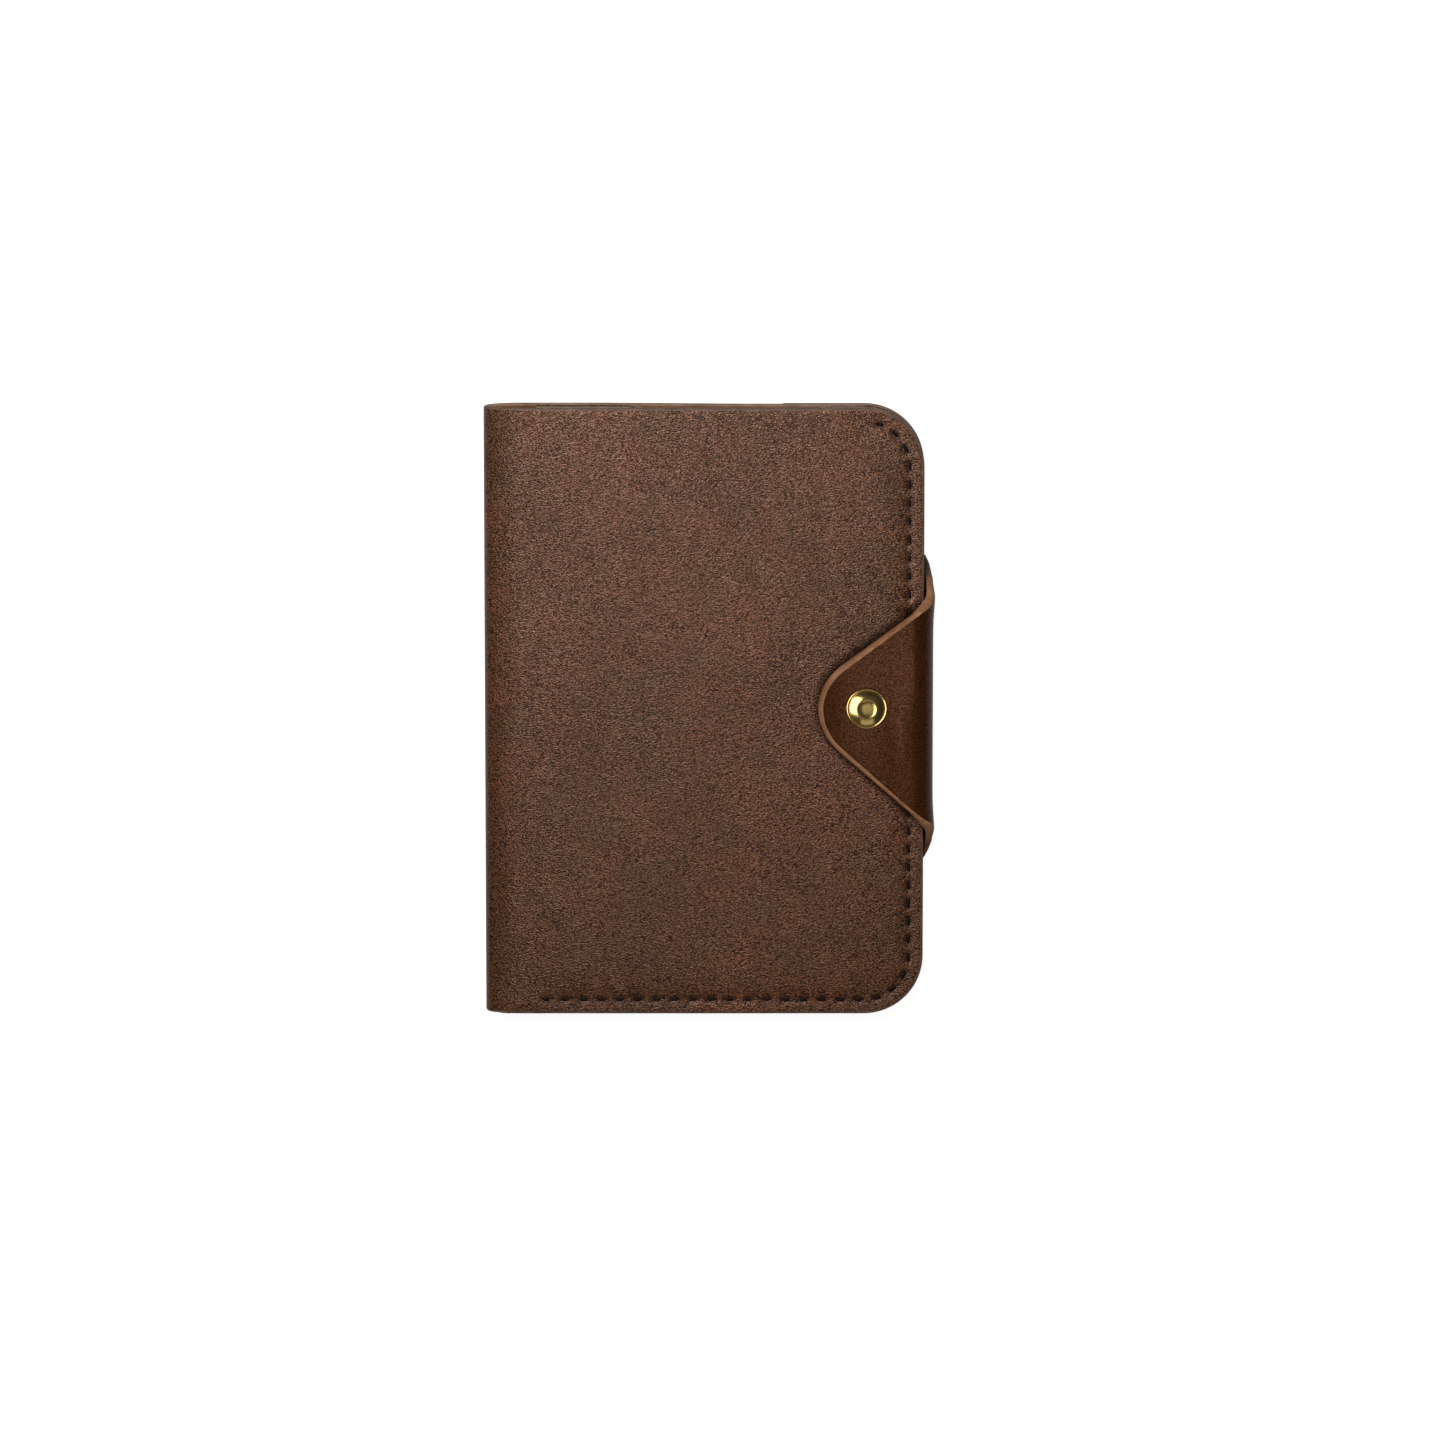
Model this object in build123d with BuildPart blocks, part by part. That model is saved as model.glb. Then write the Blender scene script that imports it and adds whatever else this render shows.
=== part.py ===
"""Leather business card case, book style, closed with a wrap-round strap and a press stud.

One sheet of leather folds round a soft spine into a front and a back cover. Each cover carries
a full-height pocket and a shorter card slot. A strap sewn on the back comes round the cut edge,
tapers to a rounded tip and snaps onto the front cover.

Frame: the case lies closed on its back, front cover up. X runs from the spine to the cut edge,
Y from the foot to the head, Z up. The origin is under the middle of the whole case. Millimetres.
"""
import os
from math import asin, cos, degrees, radians, sin

from build123d import *

# ---------------------------------------------------------------- driving dimensions
case_width = 100.0          # spine to cut edge
case_height = 140.0         # foot to head
closed_height = 10.0        # outside of the back to outside of the front, at the spine
corner_radius = 13.6        # the two corners away from the spine

cover_leather = 1.5         # thickness of the cover sheet
pocket_leather = 0.8        # thickness of the pockets
slot_leather = 0.8          # thickness of the card slots
strap_leather = 1.7         # thickness of the strap
edge_rounding = 0.55        # burnished round on the cut edges of the covers

roll_angle = 32.0           # turn of the wide bend where a cover rolls into the spine
parting_gap = 0.2           # slit between two parts of one sheet that turn on each other

pocket_start = 12.0         # spine to the near edge of the pockets
pocket_gap = 0.45           # room between a cover and its pocket
slot_gap = 0.3              # room between a pocket and its card slot
card_slot_height = 50.0     # foot to the mouth of a card slot
mouth_scoop = 3.0           # depth of the finger curve in a pocket's mouth
mouth_scoop_width = 46.0    # width of that curve

rise_start = 26.0           # spine to where the back cover leaves the table
rise_bend_radius = 250.0    # gentle bends at both ends of that rise
rise_run_out = 8.0          # the rise ends this far short of the strap's base
strap_base_width = 32.0     # the strap's base, measured in from the cut edge
strap_wall_gap = 0.4        # room between the cut edge and the strap's side
strap_root_height = 70.4    # height of the strap where it leaves its base
strap_front_height = 51.5   # height of the strap where it turns onto the front
upper_bend_outside = 5.0    # outside radius of the bend at the front
strap_tip_radius = 12.9     # round of the strap's tip
strap_tip_inset = 10.8      # cut edge to the centre of that round
strap_tip_shift = 1.3       # the tip sits this much towards the head
strap_droop_radius = 16.0   # the tip curls down to the cover past the stud
strap_bevel = 0.7           # bevel along the strap's cut edges, on the grain side

snap_inset = 13.0           # cut edge to the centre of the press stud
snap_shift = 1.9            # the stud sits this much towards the head
snap_stack = 2.8            # front cover to the underside of the strap at the stud
cap_diameter = 9.3
cap_height = 1.8
cap_bead = 0.35             # half the height of the cap's rolled rim
cap_dome_radius = 4.6       # the cap's side is domed to this radius
cap_dish_diameter = 4.4     # the shallow dish in the middle of the cap
cap_dish_depth = 0.3
cap_shank_diameter = 2.5
cap_flare_diameter = 3.6    # the shank is flared under the socket's plate
cap_flare = 0.2             # thickness of that flare
shank_clearance = 0.15      # round a shank in its leather hole
metal = 0.4                 # sheet thickness of the socket's plate and the stud's flange
socket_diameter = 8.0
socket_wall = 0.5
socket_floor_gap = 0.25     # socket to the stud's flange when snapped shut
lip_thickness = 0.2         # the socket's lip, under its spring
lip_ledge = 0.25            # how far that lip reaches in
spring_wire = 0.4
spring_play = 0.05          # between the spring and what it sits in
spring_opening = 40.0       # angle left open in the split ring
stud_head_diameter = 4.2
stud_head_height = 0.6
stud_head_bevel = 0.4       # leads the head into the spring
stud_neck_diameter = 3.2
stud_flange_diameter = 6.8
head_clearance = 0.35       # round the stud's head in the socket
post_diameter = 2.4
post_flange_diameter = 6.0
post_flange = 0.35
post_clearance = 0.05       # between the post and the stud's bore

# ---------------------------------------------------------------- places worked out from them
overall_width = case_width + strap_wall_gap + strap_leather
x_spine = -overall_width / 2
x_edge = x_spine + case_width
x_wall_out = x_edge + strap_wall_gap + strap_leather
z_mid = closed_height / 2

# Seen from the foot, a cover rolls through a wide bend into the tight bend of the spine. The
# two meet on the outside at a point that is as far from the table as from the spine. The fold
# turns about that point, so the opened covers and the spine lie flat on the table.
roll_sin = sin(radians(roll_angle))
roll_cos = cos(radians(roll_angle))
spine_radius = z_mid / (1 - roll_sin + roll_cos)
roll_radius = spine_radius * (1 - roll_sin) / (1 - roll_cos)
x_spine_center = x_spine + spine_radius
x_flat = x_spine_center + (roll_radius - spine_radius) * roll_sin

x_pocket = x_spine + pocket_start
x_rise_start = x_spine + rise_start
x_base = x_edge - strap_base_width
x_rise_end = x_base - rise_run_out
pocket_z = cover_leather + pocket_gap
slot_z = pocket_z + pocket_leather + slot_gap

lower_bend = strap_wall_gap + strap_leather
strap_under = closed_height + snap_stack
strap_over = strap_under + strap_leather
x_upper_bend = x_wall_out - upper_bend_outside
z_upper_bend = strap_over - upper_bend_outside
x_snap = x_edge - snap_inset
x_tip = x_edge - strap_tip_inset
x_droop = x_snap - cap_diameter / 2 - cap_bead
droop_outside = strap_droop_radius + strap_leather
droop_angle = degrees(asin((x_droop - x_tip + strap_tip_radius) / strap_droop_radius))

shank_hole = cap_shank_diameter / 2 + shank_clearance
post_hole = post_diameter / 2 + shank_clearance
snap_plane = Plane(origin=(x_snap, snap_shift, 0), x_dir=(1, 0, 0), z_dir=(0, -1, 0))
snap_axis = Axis((x_snap, snap_shift, 0), (0, 0, 1))


# ---------------------------------------------------------------- sections of leather
# A section is drawn as seen from the foot: X to the right, Z up.
def bend_section(center, outside_radius, thickness, start_angle, turn):
    """The section of a sheet bent round center."""
    with BuildSketch(Plane.XY) as section:
        with BuildLine():
            outer = CenterArc(center, outside_radius, start_angle, turn)
            inner = CenterArc(center, outside_radius - thickness, start_angle, turn)
            Line(outer @ 0, inner @ 0)
            Line(outer @ 1, inner @ 1)
        make_face()
    return section.sketch


def flat_section(x_start, x_end, z, thickness):
    """The section of a flat sheet."""
    with BuildSketch(Plane.XY) as section:
        with Locations((x_start, z)):
            Rectangle(x_end - x_start, thickness, align=(Align.MIN, Align.MIN))
    return section.sketch


def rising_section(x_start, z, thickness, rise):
    """The section of a sheet along a cover, lifted by rise where the strap's base is under it."""
    with BuildSketch(Plane.XY) as section:
        with BuildLine():
            for face in (z, z + thickness):
                FilletPolyline(
                    (x_start, face), (x_rise_start, face), (x_rise_end, face + rise),
                    (x_edge, face + rise), radius=rise_bend_radius,
                )
            Line((x_start, z), (x_start, z + thickness))
            Line((x_edge, z + rise), (x_edge, z + rise + thickness))
        make_face()
    return section.sketch


def joined_section(*sketches):
    """Joins sections end to end and stands them up."""
    with BuildSketch(Plane.XZ) as section:
        add(sketches)
    return section.sketch


def slit_angle(radius):
    """The turn that takes half of a parting slit at a radius."""
    return degrees(parting_gap / 2 / radius)


# ---------------------------------------------------------------- the covers and the spine
with BuildSketch() as cover_outline:
    with Locations((x_spine, 0)):
        Rectangle(case_width, case_height, align=(Align.MIN, Align.CENTER))
    fillet(cover_outline.vertices().group_by(Axis.X)[-1], corner_radius)

roll_turn = roll_angle - slit_angle(roll_radius)
roll_section = bend_section((x_flat, roll_radius), roll_radius, cover_leather, 270, -roll_turn)
back_section = joined_section(roll_section, rising_section(x_flat, 0, cover_leather, strap_leather))
front_section = joined_section(roll_section, flat_section(x_flat, x_edge, 0, cover_leather))
spine_turn = 180 - 2 * (roll_angle + slit_angle(spine_radius))
spine_section = joined_section(
    bend_section(
        (x_spine_center, z_mid), spine_radius, cover_leather, 180 - spine_turn / 2, spine_turn
    )
)


def cut_edges(cover):
    """The long edges along the foot, the head and the cut side of a cover."""
    long_edges = cover.edges().filter_by(lambda edge: edge.length > 2 * cover_leather)
    return long_edges.filter_by(
        lambda edge: abs(edge.center().Y) > case_height / 2 - corner_radius
        or edge.center().X > x_edge - corner_radius
    )


with BuildPart() as cover_back:
    extrude(back_section, amount=case_height / 2, both=True)
    extrude(cover_outline.sketch, amount=2 * closed_height, mode=Mode.INTERSECT)
    fillet(cut_edges(cover_back), edge_rounding)

with BuildPart() as cover_front:
    extrude(front_section, amount=case_height / 2, both=True)
    extrude(cover_outline.sketch, amount=2 * closed_height, mode=Mode.INTERSECT)
    fillet(cut_edges(cover_front), edge_rounding)
    mirror(about=Plane.XY.offset(z_mid), mode=Mode.REPLACE)
    with Locations((x_snap, snap_shift, closed_height)):
        Hole(radius=post_hole, depth=2 * cover_leather)

with BuildPart() as cover_spine:
    extrude(spine_section, amount=case_height / 2, both=True)
    fillet(cover_spine.edges().filter_by(GeomType.CIRCLE), edge_rounding)


# ---------------------------------------------------------------- pockets and card slots
x_mouth = (x_pocket + x_edge) / 2
scoop_right = x_mouth + mouth_scoop_width / 2
scoop_left = x_mouth - mouth_scoop_width / 2


def above_mouth(mouth_y):
    """The area over a pocket's mouth, which dips in a finger curve at its middle."""
    beyond = mouth_y + case_height
    with BuildSketch() as area:
        with BuildLine():
            Polyline(
                (scoop_left, mouth_y), (x_spine, mouth_y), (x_spine, beyond),
                (x_wall_out, beyond), (x_wall_out, mouth_y), (scoop_right, mouth_y),
            )
            ThreePointArc(
                (scoop_right, mouth_y), (x_mouth, mouth_y - mouth_scoop), (scoop_left, mouth_y)
            )
        make_face()
    return area.sketch


above_pocket = above_mouth(case_height / 2)
above_slot = above_mouth(card_slot_height - case_height / 2)
back_pocket_section = joined_section(
    rising_section(x_pocket, pocket_z, pocket_leather, strap_leather)
)
back_slot_section = joined_section(rising_section(x_pocket, slot_z, slot_leather, strap_leather))
front_pocket_section = joined_section(
    flat_section(x_pocket, x_edge, closed_height - pocket_z - pocket_leather, pocket_leather)
)
front_slot_section = joined_section(
    flat_section(x_pocket, x_edge, closed_height - slot_z - slot_leather, slot_leather)
)

with BuildPart() as back_pocket:
    extrude(back_pocket_section, amount=case_height / 2, both=True)
    extrude(cover_outline.sketch, amount=2 * closed_height, mode=Mode.INTERSECT)
    extrude(above_pocket, amount=2 * closed_height, mode=Mode.SUBTRACT)

with BuildPart() as back_card_slot:
    extrude(back_slot_section, amount=case_height / 2, both=True)
    extrude(cover_outline.sketch, amount=2 * closed_height, mode=Mode.INTERSECT)
    extrude(above_slot, amount=2 * closed_height, mode=Mode.SUBTRACT)

with BuildPart() as front_pocket:
    extrude(front_pocket_section, amount=case_height / 2, both=True)
    extrude(cover_outline.sketch, amount=2 * closed_height, mode=Mode.INTERSECT)
    extrude(above_pocket, amount=2 * closed_height, mode=Mode.SUBTRACT)

with BuildPart() as front_card_slot:
    extrude(front_slot_section, amount=case_height / 2, both=True)
    extrude(cover_outline.sketch, amount=2 * closed_height, mode=Mode.INTERSECT)
    extrude(above_slot, amount=2 * closed_height, mode=Mode.SUBTRACT)


# ---------------------------------------------------------------- the strap
# The strap parts into base, side and front halfway round each of its two bends.
lower_turn = 45 - slit_angle(lower_bend)
upper_turn = 45 - slit_angle(upper_bend_outside)
lower_center = (x_edge, lower_bend)
upper_center = (x_upper_bend, z_upper_bend)
root_section = joined_section(
    bend_section(lower_center, lower_bend, strap_leather, 270, lower_turn)
)
side_section = joined_section(
    bend_section(lower_center, lower_bend, strap_leather, 360, -lower_turn),
    flat_section(x_wall_out - strap_leather, x_wall_out, lower_bend, z_upper_bend - lower_bend),
    bend_section(upper_center, upper_bend_outside, strap_leather, 0, upper_turn),
)
strap_front_section = joined_section(
    bend_section(upper_center, upper_bend_outside, strap_leather, 90, -upper_turn),
    flat_section(x_droop, x_upper_bend, strap_under, strap_leather),
    bend_section(
        (x_droop, strap_over - droop_outside), droop_outside, strap_leather, 90, droop_angle
    ),
)

z_upper_parting = z_upper_bend + upper_bend_outside * sin(radians(45))
x_upper_parting = x_upper_bend + upper_bend_outside * cos(radians(45))
root_half = strap_root_height / 2
front_half = strap_front_height / 2

with BuildSketch(Plane.YZ.offset(x_edge)) as side_outline:
    with BuildLine():
        Polyline(
            (-root_half, 0), (root_half, 0),
            (front_half, z_upper_parting), (-front_half, z_upper_parting), close=True,
        )
    make_face()

with BuildSketch() as front_outline:
    with BuildLine():
        CenterArc((x_tip, strap_tip_shift), strap_tip_radius, 0, 360)
        Line((x_upper_parting, -front_half), (x_upper_parting, front_half))
    make_hull()

with BuildSketch() as base_outline:
    with Locations((x_base, 0)):
        Rectangle(strap_base_width, case_height, align=(Align.MIN, Align.CENTER))
    fillet(base_outline.vertices().group_by(Axis.X)[-1], corner_radius)

with BuildPart() as strap_base:
    extrude(root_section, amount=root_half, both=True)
    extrude(side_outline.sketch, amount=lower_bend, mode=Mode.INTERSECT)
    extrude(base_outline.sketch, amount=strap_leather)

with BuildPart() as strap_side:
    extrude(side_section, amount=root_half, both=True)
    extrude(side_outline.sketch, amount=lower_bend, both=True, mode=Mode.INTERSECT)
    outer_faces = strap_side.faces().filter_by(lambda face: face.normal_at().X > 0.5)
    chamfer(outer_faces.edges().filter_by(Axis.Y, reverse=True), strap_bevel)

with BuildPart() as strap_front:
    extrude(strap_front_section, amount=front_half, both=True)
    extrude(front_outline.sketch, amount=2 * strap_over, mode=Mode.INTERSECT)
    upper_faces = strap_front.faces().filter_by(lambda face: face.normal_at().Z > 0.5)
    chamfer(upper_faces.edges().filter_by(Axis.Y, reverse=True), strap_bevel)
    with Locations((x_snap, snap_shift, strap_over)):
        Hole(radius=shank_hole, depth=2 * strap_leather)


# ---------------------------------------------------------------- the press stud
# Each of its pieces is turned about the stud's axis from half of its section.
cap_radius = cap_diameter / 2
cap_top = strap_over + cap_height
rim_radius = cap_radius - cap_bead
rim_top = strap_over + 2 * cap_bead
dish_radius = cap_dish_diameter / 2
dish_bend_radius = (dish_radius**2 + cap_dish_depth**2) / (2 * cap_dish_depth)
shank_radius = cap_shank_diameter / 2
flare_radius = cap_flare_diameter / 2
socket_top = strap_under - metal
flare_foot = socket_top - cap_flare
head_radius = stud_head_diameter / 2
neck_radius = stud_neck_diameter / 2
socket_foot = closed_height + metal + socket_floor_gap
lip_top = socket_foot + lip_thickness
cavity_radius = head_radius + head_clearance
spring_radius = cavity_radius - spring_play - spring_wire / 2
spring_z = lip_top + spring_wire / 2
head_foot = spring_z + spring_wire / 2 + spring_play
head_top = head_foot + stud_head_height
bore_radius = post_diameter / 2 + post_clearance
post_foot = closed_height - cover_leather - post_flange

with BuildPart() as snap_cap:
    with BuildSketch(snap_plane):
        with BuildLine():
            Polyline(
                (0, cap_top - cap_dish_depth), (0, flare_foot), (flare_radius, flare_foot),
                (flare_radius, socket_top), (shank_radius, socket_top),
                (shank_radius, strap_over), (rim_radius, strap_over),
                (cap_radius, strap_over + cap_bead / 2), (cap_radius, rim_top - cap_bead / 2),
                (rim_radius, rim_top),
            )
            RadiusArc((rim_radius, rim_top), (dish_radius, cap_top), -cap_dome_radius)
            RadiusArc((dish_radius, cap_top), (0, cap_top - cap_dish_depth), dish_bend_radius)
        make_face()
    revolve(axis=snap_axis)

with BuildPart() as snap_socket:
    with BuildSketch(snap_plane):
        with BuildLine():
            Polyline(
                (shank_radius, strap_under), (socket_diameter / 2, strap_under),
                (socket_diameter / 2, socket_top), (cavity_radius + socket_wall, socket_top),
                (cavity_radius + socket_wall, socket_foot), (cavity_radius - lip_ledge, socket_foot),
                (cavity_radius - lip_ledge, lip_top), (cavity_radius, lip_top),
                (cavity_radius, socket_top), (shank_radius, socket_top), close=True,
            )
        make_face()
    revolve(axis=snap_axis)

with BuildPart() as snap_spring:
    with BuildSketch(snap_plane):
        with Locations((spring_radius, spring_z)):
            RegularPolygon(spring_wire / 2, 8, major_radius=False)
    revolve(axis=snap_axis, revolution_arc=360 - spring_opening)

with BuildPart() as snap_stud:
    with BuildSketch(snap_plane):
        with BuildLine():
            Polyline(
                (bore_radius, closed_height), (stud_flange_diameter / 2, closed_height),
                (stud_flange_diameter / 2, closed_height + metal),
                (neck_radius, closed_height + metal), (neck_radius, head_foot),
                (head_radius, head_foot), (head_radius, head_top), (0, head_top),
                (0, head_foot), (bore_radius, head_foot), close=True,
            )
        make_face()
        top_corners = vertices().group_by(Axis.Y)[-1]
        chamfer(top_corners.sort_by(Axis.X)[-1], stud_head_bevel)
    revolve(axis=snap_axis)

with BuildPart() as snap_post:
    with BuildSketch(snap_plane):
        with Locations((0, post_foot)):
            Rectangle(post_flange_diameter / 2, post_flange, align=(Align.MIN, Align.MIN))
            Rectangle(
                post_diameter / 2, head_foot - spring_play - post_foot,
                align=(Align.MIN, Align.MIN),
            )
    revolve(axis=snap_axis)


# ---------------------------------------------------------------- export
pieces = {
    "cover_front": cover_front,
    "cover_spine": cover_spine,
    "cover_back": cover_back,
    "front_pocket": front_pocket,
    "front_card_slot": front_card_slot,
    "back_pocket": back_pocket,
    "back_card_slot": back_card_slot,
    "strap_base": strap_base,
    "strap_side": strap_side,
    "strap_front": strap_front,
    "snap_cap": snap_cap,
    "snap_socket": snap_socket,
    "snap_spring": snap_spring,
    "snap_stud": snap_stud,
    "snap_post": snap_post,
}
os.makedirs("parts", exist_ok=True)
for name, piece in pieces.items():
    piece.part.label = name
    export_step(piece.part, f"parts/{name}.step")
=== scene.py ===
# %% [markdown]
# # Leather card case
# The real case is sewn from a few flat sheets of leather: one sheet folds round the spine and
# makes both covers, four thinner ones are the pockets, and a strap closes it with a press stud.
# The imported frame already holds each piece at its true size. This lesson builds the leather,
# thread and brass that the eye sees round that frame, and leaves the frame itself alone.

# %% Load the frame
from math import asin, atan, atan2, cos, exp, hypot, pi, radians, sin, sqrt, tan

import bmesh
import bpy
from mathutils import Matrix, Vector


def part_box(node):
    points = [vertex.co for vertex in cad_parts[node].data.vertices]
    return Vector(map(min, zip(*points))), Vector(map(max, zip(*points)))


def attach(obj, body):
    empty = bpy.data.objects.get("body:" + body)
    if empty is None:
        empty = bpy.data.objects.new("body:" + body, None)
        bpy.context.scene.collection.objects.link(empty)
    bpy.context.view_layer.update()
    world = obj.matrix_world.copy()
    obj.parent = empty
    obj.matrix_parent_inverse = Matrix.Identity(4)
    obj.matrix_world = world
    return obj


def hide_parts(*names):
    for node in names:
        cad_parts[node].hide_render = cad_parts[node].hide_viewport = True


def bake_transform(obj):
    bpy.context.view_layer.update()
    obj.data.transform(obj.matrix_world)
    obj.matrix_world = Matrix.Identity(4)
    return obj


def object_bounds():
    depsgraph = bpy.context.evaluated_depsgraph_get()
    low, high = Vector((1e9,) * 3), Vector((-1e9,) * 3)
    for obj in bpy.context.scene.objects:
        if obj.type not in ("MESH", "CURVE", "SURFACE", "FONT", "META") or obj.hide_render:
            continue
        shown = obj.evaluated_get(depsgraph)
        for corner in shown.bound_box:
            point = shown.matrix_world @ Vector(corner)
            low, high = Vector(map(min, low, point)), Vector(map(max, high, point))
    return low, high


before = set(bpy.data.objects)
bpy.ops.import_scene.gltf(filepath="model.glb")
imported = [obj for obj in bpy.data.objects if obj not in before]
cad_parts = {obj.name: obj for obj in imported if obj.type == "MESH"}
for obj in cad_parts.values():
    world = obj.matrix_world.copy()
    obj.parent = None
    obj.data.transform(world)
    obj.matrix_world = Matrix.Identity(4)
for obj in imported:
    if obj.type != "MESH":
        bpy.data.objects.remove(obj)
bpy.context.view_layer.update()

# %% [markdown]
# Every place comes from the frame's own boxes, so a sheet lands exactly on the solid that it
# dresses. Only the bends are written here, because a box can't say how round a fold is.

# %% Places and sizes, in metres
mm = 0.001
cover_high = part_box("cover_front")[1]
spine_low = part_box("cover_spine")[0]
pocket_low, pocket_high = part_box("front_pocket")
slot_low, slot_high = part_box("front_card_slot")
base_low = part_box("strap_base")[0]
tab_low, tab_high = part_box("strap_front")

x_spine = spine_low.x
x_cut = cover_high.x
half_height = cover_high.y
z_front = cover_high.z
z_middle = z_front / 2
corner_radius = 13.6 * mm
cover_leather = 1.5 * mm
pocket_leather = pocket_high.z - pocket_low.z
strap_leather = 1.7 * mm

roll_angle = radians(32)
spine_radius = z_middle / (1 - sin(roll_angle) + cos(roll_angle))
roll_radius = spine_radius * (1 - sin(roll_angle)) / (1 - cos(roll_angle))
x_spine_center = x_spine + spine_radius
x_flat = x_spine_center + (roll_radius - spine_radius) * sin(roll_angle)
print("the cover is flat from", round(x_flat / mm, 2), "to", round(x_cut / mm, 2), "mm")

# %% [markdown]
# ## Modelling by hand, in code
# With no mouse, a face or an edge is chosen by where it is. These helpers pick by a rule of
# place, cut a sheet into rows with bisect, and press a shape into it with a weighted Displace.


# %% Helpers: choosing and cutting
def edit(piece, kind):
    """Opens a piece in edit mode, ready to choose vertices, edges or faces."""
    bpy.ops.object.select_all(action="DESELECT")
    piece.select_set(True)
    bpy.context.view_layer.objects.active = piece
    bpy.ops.object.mode_set(mode="EDIT")
    bpy.ops.mesh.select_mode(type=kind)


def choose(kind, rule):
    """Selects the vertices, edges or faces that a rule of place picks, and says how many."""
    mesh = bpy.context.object.data
    shape = bmesh.from_edit_mesh(mesh)
    bpy.ops.mesh.select_all(action="DESELECT")
    found = [item for item in getattr(shape, kind) if rule(item)]
    for item in found:
        item.select_set(True)
    bmesh.update_edit_mesh(mesh)
    return len(found)


def middle(item):
    """The middle of an edge or a face."""
    return sum((vertex.co for vertex in item.verts), Vector()) / len(item.verts)


def near(a, b):
    return abs(a - b) < 0.02 * mm


def cut_rows(direction, places):
    """Bisects the whole open piece with a plane at each place along a direction."""
    for place in places:
        bpy.ops.mesh.select_all(action="SELECT")
        bpy.ops.mesh.bisect(
            plane_co=Vector(direction) * place, plane_no=direction, threshold=0.001 * mm
        )


def steps(start, end, step):
    """Evenly spaced places between two ends, about a step apart, without the ends."""
    count = max(1, round(abs(end - start) / step))
    return [start + (end - start) * i / count for i in range(1, count)]


def leave_edit():
    bpy.ops.object.mode_set(mode="OBJECT")


# %% Helpers: pressing a shape into leather
def press(piece, name, rule, distance, direction="NORMAL"):
    """Moves each point of a piece by a distance times the weight that a rule gives its place."""
    group = piece.vertex_groups.new(name=name)
    for vertex in piece.data.vertices:
        weight = rule(*vertex.co)
        if weight > 0:
            group.add([vertex.index], min(weight, 1), "REPLACE")
    bend = piece.modifiers.new(name, "DISPLACE")
    bend.vertex_group = name
    bend.direction = direction
    bend.mid_level = 0
    bend.strength = distance
    bpy.context.view_layer.objects.active = piece
    bpy.ops.object.modifier_apply(modifier=name)


def keep_weight(piece, name, rule):
    """Stores a rule's value at each point, for a material to read."""
    values = piece.data.attributes.new(name, "FLOAT", "POINT")
    for vertex in piece.data.vertices:
        values.data[vertex.index].value = max(0, min(1, rule(*vertex.co)))


def ease(value, start, end):
    """Goes smoothly from 0 at start to 1 at end."""
    share = max(0, min(1, (value - start) / (end - start)))
    return share * share * (3 - 2 * share)


def smooth(piece, angle=35):
    bpy.ops.object.select_all(action="DESELECT")
    piece.select_set(True)
    bpy.context.view_layer.objects.active = piece
    bpy.ops.object.shade_smooth_by_angle(angle=radians(angle))
    print(piece.name, len(piece.data.polygons), "faces")


# %% [markdown]
# ## Finishes
# Each material starts from what the real stuff is. Leather's grain is a field of tiny pebbles
# about half a millimetre long, with finer pores on them. Its flesh side is a short nap, and a
# cut edge shows the fibres, rubbed smooth on the covers and left raw on the strap.


# %% Helpers: colours and nodes
def linear(hex_text):
    """An sRGB hex colour as the linear colour that a shader works in."""
    channels = [int(hex_text[i : i + 2], 16) / 255 for i in (1, 3, 5)]
    return [c / 12.92 if c <= 0.04045 else ((c + 0.055) / 1.055) ** 2.4 for c in channels] + [1]


def add_node(tree, kind, inputs=None, **settings):
    """Adds a node with its settings. An input is a value, or another node's output."""
    node = tree.nodes.new(kind)
    for name, value in settings.items():
        setattr(node, name, value)
    for socket, value in (inputs or {}).items():
        if isinstance(value, bpy.types.NodeSocket):
            tree.links.new(value, node.inputs[socket])
        else:
            node.inputs[socket].default_value = value
    return node


def new_material(name):
    """An empty material and its node tree."""
    material = bpy.data.materials.new(name)
    material.use_nodes = True
    material.node_tree.nodes.clear()
    return material, material.node_tree


def show(tree, shader):
    add_node(tree, "ShaderNodeOutputMaterial", {"Surface": shader.outputs[0]})


# %% [markdown]
# ### Grain side
# Vegetable-tanned cowhide, dyed brown and lightly waxed. Its grain is a field of short creases
# and pebbles, longer across the hide than along it. The dye takes unevenly, redder here and
# more olive there. The wax gives a broad, warm shine on top of the pebbles. In the valleys
# between them the shine is turned down and the colour goes almost black, both painted shade,
# and that, more than the dye, is what makes the grain visible. Whatever a stitch presses in goes
# almost black too: the leather darkens where it is crushed, and painted shade fills the pit.
# A painted shadow, dark and without shine, runs along the outline of the strap's tab on the
# front cover. Two attributes of the mesh tell the material where the stitch marks and that
# painted shadow are.

# %% Grain leather
crease = (0.5 * mm, 0.29 * mm, 0.4 * mm)    # one pebble of the grain, across, along, through
grain_turn = radians(-12)                   # the pebbles lie this much askew
wander = 2 * mm                             # their rows wander by about this much
pore = 0.2 * mm                             # finer texture on the pebbles
dye_patch = 24 * mm                         # lighter and darker patches of dye
dye_fleck = 8 * mm                          # redder and more olive flecks in them
valley_shine_left = 0.4                            # share of the shine left in a valley; the rest is taken away as painted shade
crushed_and_shaded_brown = "#150804"                   # where a stitch presses in: crushed, darker leather and painted shade in the pit
tab_shadow_brown = "#0e0603"                    # painted shadow along the outline of the strap's tab


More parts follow.
